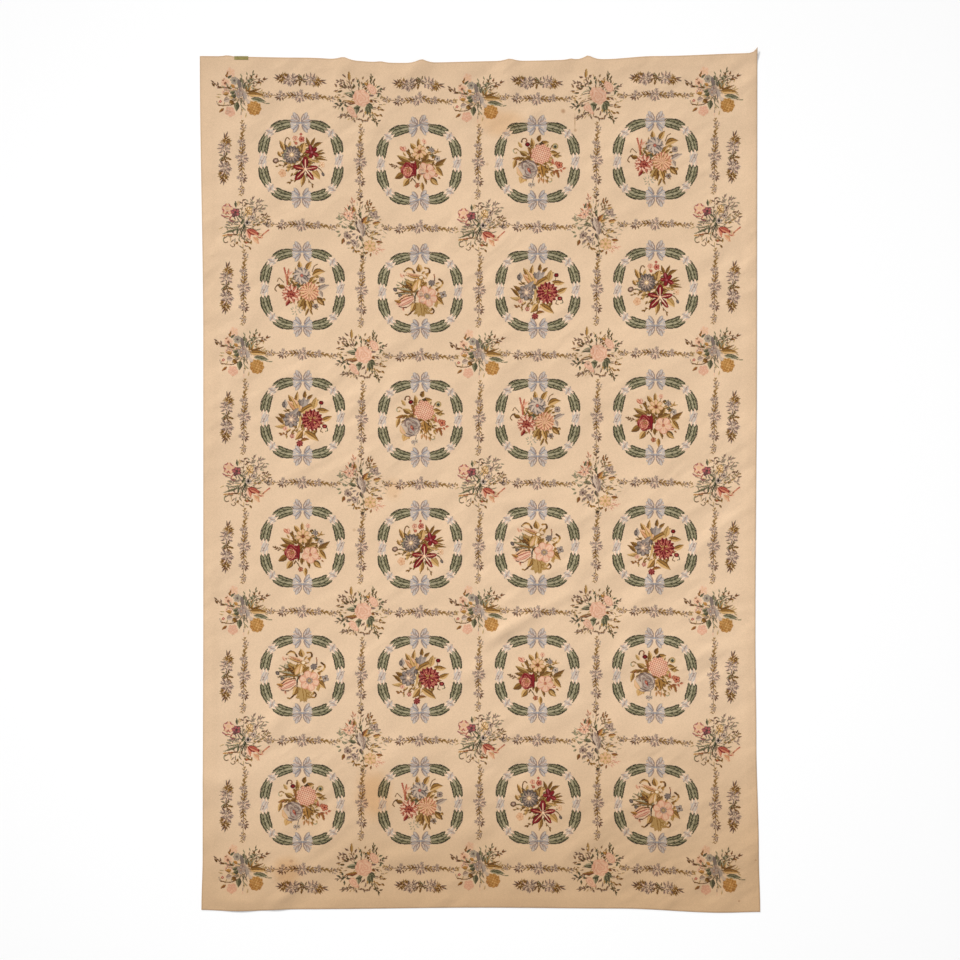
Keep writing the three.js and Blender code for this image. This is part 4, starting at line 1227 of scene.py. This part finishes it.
def woolPiece(name, placed, tiles):
    # One mesh of all the coloured stitches of several motifs: (kind, chart, middle x, middle y) each.
    # The map OFBake gives every motif its own tile of a square, and weave is the place on the flat rug.
    points, marks, bakes, colours = [], [], [], []
    for number, (kind, chart, midX, midY) in enumerate(placed):
        if kind not in blocksOf:
            blocksOf[kind] = woolBlocks(chart)
        left, right, low, high, wool = blocksOf[kind]
        tall, wide = chart.shape
        u = np.stack([left, right, right, left], 1)
        v = np.stack([low, low, high, high], 1)
        designX = midX + (u - wide / 2) * sheet["stitch"]
        designY = midY + (v - tall / 2) * sheet["stitch"]
        across = designX / sheet["width"] + 0.5
        along = designY / sheet["length"] + 0.5
        x, y = rugPlace(across, along)
        z = surfaceHeight(across, along) + sheet["hover"]
        points.append(listed(x - middleX, y - middleY, z))
        marks.append(listed(designX, designY))
        scale = (1 - 2 * tileRim) / max(tall, wide)
        tileX, tileY = number % tiles + tileRim, number // tiles + tileRim
        bakes.append(listed(tileX + u * scale, tileY + v * scale) / tiles)
        colours.append(np.repeat(woolColours[wool], 4, axis=0))
    points = np.concatenate(points)
    faces = np.arange(len(points)).reshape(-1, 4)
    maps = [("OFBake", np.concatenate(bakes)), ("weave", np.concatenate(marks))]
    piece = newPiece(name, points, faces, [motifWool], maps, colours=np.concatenate(colours))
    print(name, len(faces) * 2, "triangles")
    return piece


class Wire:
    # A socket of a material; the operators on it add Math nodes.
    def __init__(self, paint, socket):
        self.paint, self.socket = paint, socket

    def __add__(self, other):
        return self.paint.math("ADD", self, other)

    def __sub__(self, other):
        return self.paint.math("SUBTRACT", self, other)

    def __rsub__(self, other):
        return self.paint.math("SUBTRACT", other, self)

    def __mul__(self, other):
        return self.paint.math("MULTIPLY", self, other)

    def __truediv__(self, other):
        return self.paint.math("DIVIDE", self, other)

    def __rtruediv__(self, other):
        return self.paint.math("DIVIDE", other, self)

    def __pow__(self, other):
        return self.paint.math("POWER", self, other)

    def __rpow__(self, other):
        return self.paint.math("POWER", other, self)

    __radd__ = __add__
    __rmul__ = __mul__


class Paint:
    # A material, and the one method that adds nodes to it.
    def __init__(self, name):
        self.material = bpy.data.materials.new(name)
        self.material.use_nodes = True
        self.shader = self.material.node_tree.nodes["Principled BSDF"]

    def node(self, kind, settings=None, values=None, output=0):
        # Settings are set first, then each socket takes a value or a wire.
        made = self.material.node_tree.nodes.new("ShaderNode" + kind)
        for name, setting in (settings or {}).items():
            setattr(made, name, setting)
        for name, value in (values or {}).items():
            self.join(made.inputs[name], value)
        return Wire(self, made.outputs[output])

    def join(self, socket, value):
        if isinstance(value, Wire):
            self.material.node_tree.links.new(value.socket, socket)
        else:
            socket.default_value = value

    def set(self, **values):
        for name, value in values.items():
            self.join(self.shader.inputs[name.replace("_", " ")], value)

    def math(self, operation, *values):
        return self.node("Math", {"operation": operation}, dict(enumerate(values)))

    def vector(self, operation, first, second):
        return self.node("VectorMath", {"operation": operation}, {0: first, 1: second})

    def part(self, vector, axis):
        return self.node("SeparateXYZ", None, {0: vector}, axis)

    def noise(self, vector, scale, detail, rough):
        values = {"Vector": vector, "Scale": scale, "Detail": detail, "Roughness": rough}
        return self.node("TexNoise", None, values)

    def ramp(self, value, low, high):
        # 0 below low, 1 above high, smooth between them.
        ease = {"interpolation_type": "SMOOTHSTEP"}
        return self.node("MapRange", ease, {0: value, 1: low, 2: high, 3: 0.0, 4: 1.0})

    def mix(self, factor, first, second, blend="MIX"):
        settings = {"data_type": "RGBA", "blend_type": blend}
        return self.node("Mix", settings, {0: factor, 6: first, 7: second}, 2)

    def tint(self, factor, colour, shade):
        # The colour times the shade, as far as the factor says.
        return self.mix(factor, colour, shade, "MULTIPLY")

    def place(self):
        return self.node("TexCoord", None, None, "Object")

    def stitches(self):
        # Stitches counted across and up the flat rug.
        marks = self.node("UVMap", {"uv_map": "weave"})
        return self.vector("MULTIPLY", marks, (1 / sheet["stitch"], 1 / sheet["stitch"], 0))

    def bump(self, height, strength=1.0, distance=1.0):
        return self.node("Bump", None, {"Strength": strength, "Distance": distance, "Height": height})


# Wear, soil and painted shade over any wool, with places and reaches in metres
soilAndShade = {
    "patches": (0.9, 4.0, 0.55),  # noise of the long soft patches: scale, detail, roughness
    "patchTints": ((0.93, 0.92, 0.9, 1), (1.05, 1.055, 1.06, 1)),
    "patchContrast": 0.9,
    "cloud": (5.5, 3.0, 0.6),
    "streak": (1.0, 3.0, 0.6),
    "streakSqueeze": (1.5, 16.0, 1.0),  # makes the streaks run across the rug
    "cloudTints": ((0.94, 0.935, 0.92, 1), (1.05, 1.05, 1.055, 1)),
    "cloudShare": 0.6,  # against the streaks
    "worn": {"tint": daylight(232, 220, 204), "reach": 0.16, "ragged": 0.06, "strength": 0.12},
    # painted shade: a thin dark line along every edge, for the rolled hem's shading and its shadow
    "rim": {"tint": daylight(166, 140, 110), "from": 0.004, "to": 0.011, "strength": 0.3},
    # painted shade: darker towards the bottom end, reaching a little higher on the right
    "low": {"tint": daylight(223, 215, 202), "from": -2.95, "to": -1.35, "slope": 0.13},
    # painted shade: a little darker and greyer towards the top end
    "high": {"tint": daylight(232, 230, 228), "from": 1.9, "to": 3.0, "strength": 0.4},
    "ragged": 0.5,  # how far the patches move the low and the high tint
    "markRagged": 0.6,
    "markCore": 0.25,
    "spotTint": daylight(176, 128, 72),
    "bloomTint": daylight(232, 192, 124),
    # Place x, y, reach across, reach along, strength
    "spots": [
        (0.536, 2.375, 0.020, 0.020, 0.55),
        (0.611, 2.310, 0.007, 0.075, 0.45),
        (0.614, 2.252, 0.014, 0.014, 0.45),
        (0.047, 2.034, 0.014, 0.014, 0.30),
        (-0.262, 2.388, 0.014, 0.014, 0.30),
        (-0.545, -0.104, 0.018, 0.014, 0.30),
        (-0.810, -0.322, 0.016, 0.014, 0.30),
        (-1.215, -2.454, 0.018, 0.014, 0.35),
        (1.668, -2.711, 0.009, 0.009, 0.60),
        (1.775, -2.448, 0.009, 0.009, 0.35),
    ],
    "blooms": [
        (-0.690, -2.016, 0.16, 0.22, 0.42),
        (-1.245, -2.530, 0.12, 0.14, 0.38),
        (-0.560, -0.060, 0.08, 0.10, 0.22),
        (0.130, 2.300, 0.22, 0.12, 0.30),
    ],
}


def soiledAndShaded(paint, wool):
    # Long soft patches, streaks, a worn tint along the edges, a painted shade line at the rim, painted shade
    # towards both ends, yellow blooms and brown spots, on any wool's colour.
    place = paint.place()
    x, y = paint.part(place, 0), paint.part(place, 1)
    patches = paint.noise(place, *soilAndShade["patches"]) - 0.5
    cloud = paint.noise(place, *soilAndShade["cloud"])
    streak = paint.noise(paint.vector("MULTIPLY", place, soilAndShade["streakSqueeze"]), *soilAndShade["streak"])
    wool = paint.tint(1.0, wool, paint.mix(patches * soilAndShade["patchContrast"] + 0.5, *soilAndShade["patchTints"]))
    share = soilAndShade["cloudShare"]
    wool = paint.tint(1.0, wool, paint.mix(cloud * share + streak * (1 - share), *soilAndShade["cloudTints"]))

    marks = paint.node("UVMap", {"uv_map": "weave"})
    fromSide = sheet["width"] / 2 - paint.math("ABSOLUTE", paint.part(marks, 0))
    fromEnd = sheet["length"] / 2 - paint.math("ABSOLUTE", paint.part(marks, 1))
    edge = paint.math("MINIMUM", fromSide, fromEnd)
    worn, rim, low, high = (soilAndShade[name] for name in ("worn", "rim", "low", "high"))
    wornEdge = 1 - paint.ramp(edge + (cloud - 0.5) * worn["ragged"], 0.0, worn["reach"])
    wool = paint.tint(wornEdge * worn["strength"], wool, worn["tint"])
    # Painted shade: a thin dark line along every edge of the rug
    wool = paint.tint((1 - paint.ramp(edge, rim["from"], rim["to"])) * rim["strength"], wool, rim["tint"])
    # Painted shade: darker towards the bottom end and a little darker towards the top end, moved by the
    # patches
    level = y + patches * soilAndShade["ragged"]
    wool = paint.tint(1 - paint.ramp(level - x * low["slope"], low["from"], low["to"]), wool, low["tint"])
    wool = paint.tint(paint.ramp(level, high["from"], high["to"]) * high["strength"], wool, high["tint"])

    marked = [(row, soilAndShade["bloomTint"]) for row in soilAndShade["blooms"]]
    marked += [(row, soilAndShade["spotTint"]) for row in soilAndShade["spots"]]
    for (markX, markY, reachX, reachY, strength), tint in marked:
        dx, dy = (x - markX) / reachX, (y - markY) / reachY
        away = (dx * dx + dy * dy) ** 0.5 + (cloud - 0.5) * soilAndShade["markRagged"]
        wool = paint.tint((1 - paint.ramp(away, soilAndShade["markCore"], 1.0)) * strength, wool, tint)
    return wool


# Relief of the wool, with heights in metres
relief = {
    "stitch": 0.00028,
    "ridges": 0.7,  # share of the slanted ridges, against the dimples at the stitches' ends
    "lean": -0.6,  # radians that the wrinkles are turned by
    "wrinkle": {"squeeze": (2.2, 4.6, 1.0), "detail": 1.2, "rough": 0.4, "height": 0.02},
    "crumple": {"squeeze": (4.0, 9.0, 1.0), "detail": 1.5, "rough": 0.5, "height": 0.017},
    "crumpledPlaces": (1.1, 1.0, 0.5),  # noise: scale, detail, roughness
    "crumpledFrom": (0.36, 0.6),  # where in that noise the crumples start and are full
}
woolFinish = {
    "grain": ((0.93, 0.925, 0.92, 1), (1.06, 1.06, 1.06, 1)),  # darkest and lightest tint of a stitch
    "roughness": (0.86, 0.94),
    "sheen": 0.25,
    "sheenRoughness": 0.5,
    "shine": 0.15,
}


def stitchRelief(paint):
    # Slanted stitches: ridges along one diagonal, dimpled where the stitches end; and a number for each.
    count = paint.stitches()
    u, v = paint.part(count, 0), paint.part(count, 1)
    ridge = paint.math("COSINE", (u - v) * (2 * np.pi))
    ends = paint.math("COSINE", (u + v) * (2 * np.pi))
    corner = paint.vector("FLOOR", count, (0, 0, 0))
    cell = paint.node("TexWhiteNoise", {"noise_dimensions": "2D"}, {0: corner})
    return ridge * relief["ridges"] + ends * (1 - relief["ridges"]), cell


def wrinkled(paint, place, kind):
    # Stretched noise, times its height.
    row = relief[kind]
    squeezed = paint.vector("MULTIPLY", place, row["squeeze"])
    return paint.noise(squeezed, 1.0, row["detail"], row["rough"]) * row["height"]


def woolPaint(name, colour=None):
    # Wool tent stitch: its colour is given, or comes from each stitch's own wool.
    paint = Paint(name)
    wool = colour or paint.node("Attribute", {"attribute_name": "wool"}, None, "Color")
    stitch, cell = stitchRelief(paint)
    wool = paint.tint(1.0, soiledAndShaded(paint, wool), paint.mix(cell, *woolFinish["grain"]))
    place = paint.place()
    turn = {"rotation_type": "Z_AXIS"}
    slanted = paint.node("VectorRotate", turn, {"Vector": place, "Angle": relief["lean"]})
    where = paint.ramp(paint.noise(place, *relief["crumpledPlaces"]), *relief["crumpledFrom"])
    wrinkles = wrinkled(paint, slanted, "wrinkle") + wrinkled(paint, slanted, "crumple") * where
    smooth, rough = woolFinish["roughness"]
    paint.set(Base_Color=wool, Roughness=cell * (rough - smooth) + smooth)
    paint.set(Normal=paint.bump(stitch * relief["stitch"] + wrinkles))
    paint.set(Sheen_Weight=woolFinish["sheen"], Sheen_Roughness=woolFinish["sheenRoughness"])
    paint.set(Specular_IOR_Level=woolFinish["shine"])
    return paint.material


backing = {
    "dark": daylight(168, 148, 116),
    "light": daylight(206, 186, 150),
    "patches": (3.0, 4.0, 0.6),  # noise: scale, detail, roughness
    "weave": 0.3,  # how much the weave adds to the patches
    "relief": 0.0008,
    "roughness": 0.92,
    "shine": 0.15,
}


def canvasPaint():
    # The back: open canvas with the wool's return threads showing through it.
    paint = Paint("canvasBack")
    count = paint.stitches()
    warp = paint.math("SINE", paint.part(count, 0) * (2 * np.pi))
    weft = paint.math("SINE", paint.part(count, 1) * (2 * np.pi))
    patches = paint.noise(paint.place(), *backing["patches"])
    colour = paint.mix(warp * weft * backing["weave"] + patches, backing["dark"], backing["light"])
    paint.set(Base_Color=colour, Roughness=backing["roughness"], Specular_IOR_Level=backing["shine"])
    paint.set(Normal=paint.bump(warp * weft, 0.4, backing["relief"]))
    return paint.material


groundWool = woolPaint("groundWool", daylight(*wools["ground"]))
motifWool = woolPaint("motifWool")
canvasBack = canvasPaint()
print("wool and canvas painted")

# Where the face and the back of each sheet lie in its map OFBake: size, then lower left corner
bakePlaces = {
    "canvas": [((0.62, 0.96), (0.01, 0.01)), ((0.33, 0.51), (0.65, 0.01))],
    "tape": [((0.98, 0.46), (0.01, 0.01)), ((0.98, 0.46), (0.01, 0.52))],
}


def quads(number):
    # Faces between the neighbouring rows and columns of a grid of point numbers.
    return listed(number[:-1, :-1], number[:-1, 1:], number[1:, 1:], number[1:, :-1])


def sheetPiece(name, x, y, top, under, u, v, bakes, materials, design=False):
    # A closed sheet: a face grid and a back grid that share their rims, with shares u and v across and along.
    rows, columns = x.shape
    number = np.arange(rows * columns).reshape(rows, columns)
    backNumber = number.copy()
    backNumber[1:-1, 1:-1] = rows * columns + np.arange((rows - 2) * (columns - 2)).reshape(rows - 2, -1)
    inner = np.s_[1:-1, 1:-1]
    points = np.vstack([listed(x, y, top), listed(x[inner], y[inner], under[inner])])
    faceQuads, backQuads = quads(number), quads(backNumber)[:, ::-1]
    shares = [listed(u, v)[corners].reshape(-1, 2) for corners in (faceQuads, faceQuads[:, ::-1])]
    maps = [("OFBake", np.vstack([part * size + corner for part, (size, corner) in zip(shares, bakes)]))]
    if design:
        maps.append(("weave", (np.vstack(shares) - 0.5) * (sheet["width"], sheet["length"])))
    slots = np.repeat([0, len(materials) - 1], len(faceQuads))
    print(name, 4 * len(faceQuads), "triangles")
    faces = np.vstack([faceQuads, backQuads])
    return newPiece(name, points, faces, materials, maps, slots=slots, smooth=True)


ground = sheetPiece(
    "stitched_canvas", flatX - middleX, flatY - middleY, groundTop, groundUnder, shareAcross, shareAlong,
    bakePlaces["canvas"], [groundWool, canvasBack], design=True,
)
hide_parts("needlepoint_rug")

charts = {name: worked(rows, *chartSize["bouquet"]) for name, rows in bouquets.items()}
charts |= {name: worked(rows, *chartSize["spray"]) for name, rows in sprays.items()}
wreathWool = wreathChart()
print("charts worked")


def medallion(flowers):
    # A bouquet within its wreath, as one chart.
    whole = wreathWool.copy()
    top, left = (np.array(whole.shape) - flowers.shape) // 2
    inner = whole[top : top + flowers.shape[0], left : left + flowers.shape[1]]
    inner[flowers > 0] = flowers[flowers > 0]
    return whole


medallions = {name: medallion(charts[name]) for name in bouquets}
shiftX, shiftY = layout["middle"]
columnPlaces = [shiftX + layout["column"] * (k - 1.5) for k in range(4)]
crossPlaces = [shiftX + layout["column"] * (k - 2) for k in range(5)]
rowPlaces = [shiftY + layout["row"] * (2.5 - k) for k in range(6)]
crossRows = [shiftY + layout["row"] * (3 - k) for k in range(7)]
marginX, marginY = layout["margin"]["across"], layout["margin"]["along"]

for k, (names, y) in enumerate(zip(layout["rows"], rowPlaces)):
    placed = [(name, medallions[name], x, y) for name, x in zip(names.split(), columnPlaces)]
    woolPiece(f"medallions_{k + 1}", placed, 2)
for k, y in enumerate(crossRows):
    names = [layout["crossings"][k % 2][i % 2] for i in range(len(crossPlaces))]
    rise = layout["crossingRise"]
    placed = [(name, charts[name], x, y + rise[name]) for name, x in zip(names, crossPlaces)]
    woolPiece(f"crossings_{k + 1}", placed, 3)

garlandAcross = worked(garland, *chartSize["garland"])
placed = [("garlandAcross", garlandAcross, x, y) for y in crossRows for x in columnPlaces]
woolPiece("garlands_across", placed, 6)
garlandUp = worked(garland, *chartSize["garland"], turned=True)
placed = [("garlandUp", garlandUp, x, y + layout["garlandUpRise"]) for y in rowPlaces for x in crossPlaces]
woolPiece("garlands_up", placed, 6)

sprigAcross = worked(marginSprig, *chartSize["sprig"])
sprigUp = worked(marginSprig, *chartSize["sprig"], turned=True)
placed = [("sprigAcross", sprigAcross, x, y) for y in (marginY, -marginY) for x in columnPlaces]
placed += [("sprigUp", sprigUp, x, y) for x in (-marginX, marginX) for y in rowPlaces]
woolPiece("margin_sprigs", placed, 5)

# The sewn tape, in metres
tape = {
    "seam": 0.003,  # rounded off along its rim
    "rib": 0.0016,
    "band": 0.004,  # after which the ribs turn
    "ribHeight": 0.0004,
    "dark": daylight(118, 104, 54),
    "light": daylight(176, 162, 96),
    "wear": (60.0, 3.0, 0.6),  # noise: scale, detail, roughness
    "roughness": 0.85,
    "sheen": 0.2,
    "columns": 45,
    "rows": 12,
}


def tapePaint():
    # Herringbone cotton: slanted ribs that turn at each band.
    paint = Paint("oliveTape")
    place = paint.place()
    x, y = paint.part(place, 0), paint.part(place, 1)
    ribs = paint.math("SINE", (x + paint.math("PINGPONG", y, tape["band"])) * (2 * np.pi / tape["rib"]))
    colour = paint.mix(ribs * 0.25 + paint.noise(place, *tape["wear"]), tape["dark"], tape["light"])
    paint.set(Base_Color=colour, Roughness=tape["roughness"], Sheen_Weight=tape["sheen"])
    paint.set(Normal=paint.bump(ribs, 0.5, tape["ribHeight"]))
    return paint.material


def tapePiece():
    # A thin closed strip over the tape's own solid, its rims rounded and its face a little uneven.
    low, high = (np.array(corner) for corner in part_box("edge_tape"))
    u, v = np.meshgrid(np.linspace(0, 1, tape["columns"] + 1), np.linspace(0, 1, tape["rows"] + 1))
    wide, deep, thick = high - low
    away = np.minimum(np.minimum(u, 1 - u) * wide, np.minimum(v, 1 - v) * deep)
    swell = np.sqrt(np.clip(away / tape["seam"], 0, 1))
    top = low[2] + thick * (0.35 + 0.5 * swell + 0.12 * np.sin(40 * u) * np.sin(9 * v) * swell)
    under = np.full_like(u, low[2])
    x, y = low[0] + wide * u, low[1] + deep * v
    return sheetPiece("sewn_tape", x, y, top, under, u, v, bakePlaces["tape"], [tapePaint()])


sewnTape = tapePiece()
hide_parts("edge_tape")

# The floor, lights and camera
stage = {
    "photoWidth": 960,  # pixels across the frame
    "pixel": 0.00644,  # metres of floor for each
    "lens": 70,
    "sensor": 36,
    "floorSize": 240.0,
    "floorDrop": 0.0005,  # under the rug
    "floorColour": (0.97, 0.97, 0.97, 1),
    "window": {"energy": 2.75, "softness": 10, "turn": (62, 0, 217)},  # a low sun, in degrees
    "ceiling": {"energy": 345, "size": 7.0, "place": (-0.5, 0.2, 10.0)},
    "room": 0.36,  # strength of the white light all round
}


def onStage(name, data, place=(0, 0, 0), turn=(0, 0, 0)):
    # An object that holds the data, in the scene.
    thing = bpy.data.objects.new(name, data)
    thing.location, thing.rotation_euler = place, turn
    bpy.context.scene.collection.objects.link(thing)
    return thing


def stageFloor():
    # One large pale square, just under the rug.
    half, drop = stage["floorSize"] / 2, -stage["floorDrop"]
    corners = [(-half, -half, drop), (half, -half, drop), (half, half, drop), (-half, half, drop)]
    mesh = bpy.data.meshes.new("floor")
    mesh.from_pydata(corners, [], [(0, 1, 2, 3)])
    paint = Paint("paleFloor")
    paint.set(Base_Color=stage["floorColour"], Roughness=0.9)
    mesh.materials.append(paint.material)
    floor = onStage("floor", mesh)


def lowWindow():
    # A soft sun, low from the upper left.
    row = stage["window"]
    lamp = bpy.data.lights.new("lowWindow", "SUN")
    lamp.energy, lamp.angle = row["energy"], np.radians(row["softness"])
    onStage("lowWindow", lamp, turn=np.radians(row["turn"]))


def ceilingLight():
    # A soft square that looks down at the rug's middle.
    row = stage["ceiling"]
    lamp = bpy.data.lights.new("ceilingLight", "AREA")
    lamp.shape, lamp.size, lamp.energy = "SQUARE", row["size"], row["energy"]
    away = np.array(row["place"]) / np.linalg.norm(row["place"])
    turn = (np.arccos(away[2]), 0, np.arctan2(away[1], away[0]) + np.pi / 2)
    onStage("ceilingLight", lamp, row["place"], turn)


stageFloor()
lowWindow()
ceilingLight()
world = bpy.data.worlds.new("paleRoom")
world.use_nodes = True
background = world.node_tree.nodes["Background"]
background.inputs["Color"].default_value = (1, 1, 1, 1)
background.inputs["Strength"].default_value = stage["room"]
bpy.context.scene.world = world
bpy.context.scene.view_settings.view_transform = "Standard"

eye = bpy.data.cameras.new("overhead")
eye.lens, eye.sensor_width = stage["lens"], stage["sensor"]
cameraHeight = stage["photoWidth"] * stage["pixel"] * stage["lens"] / stage["sensor"]
bpy.context.scene.camera = onStage("overhead", eye, (0, 0, cameraHeight))
print("stage set")
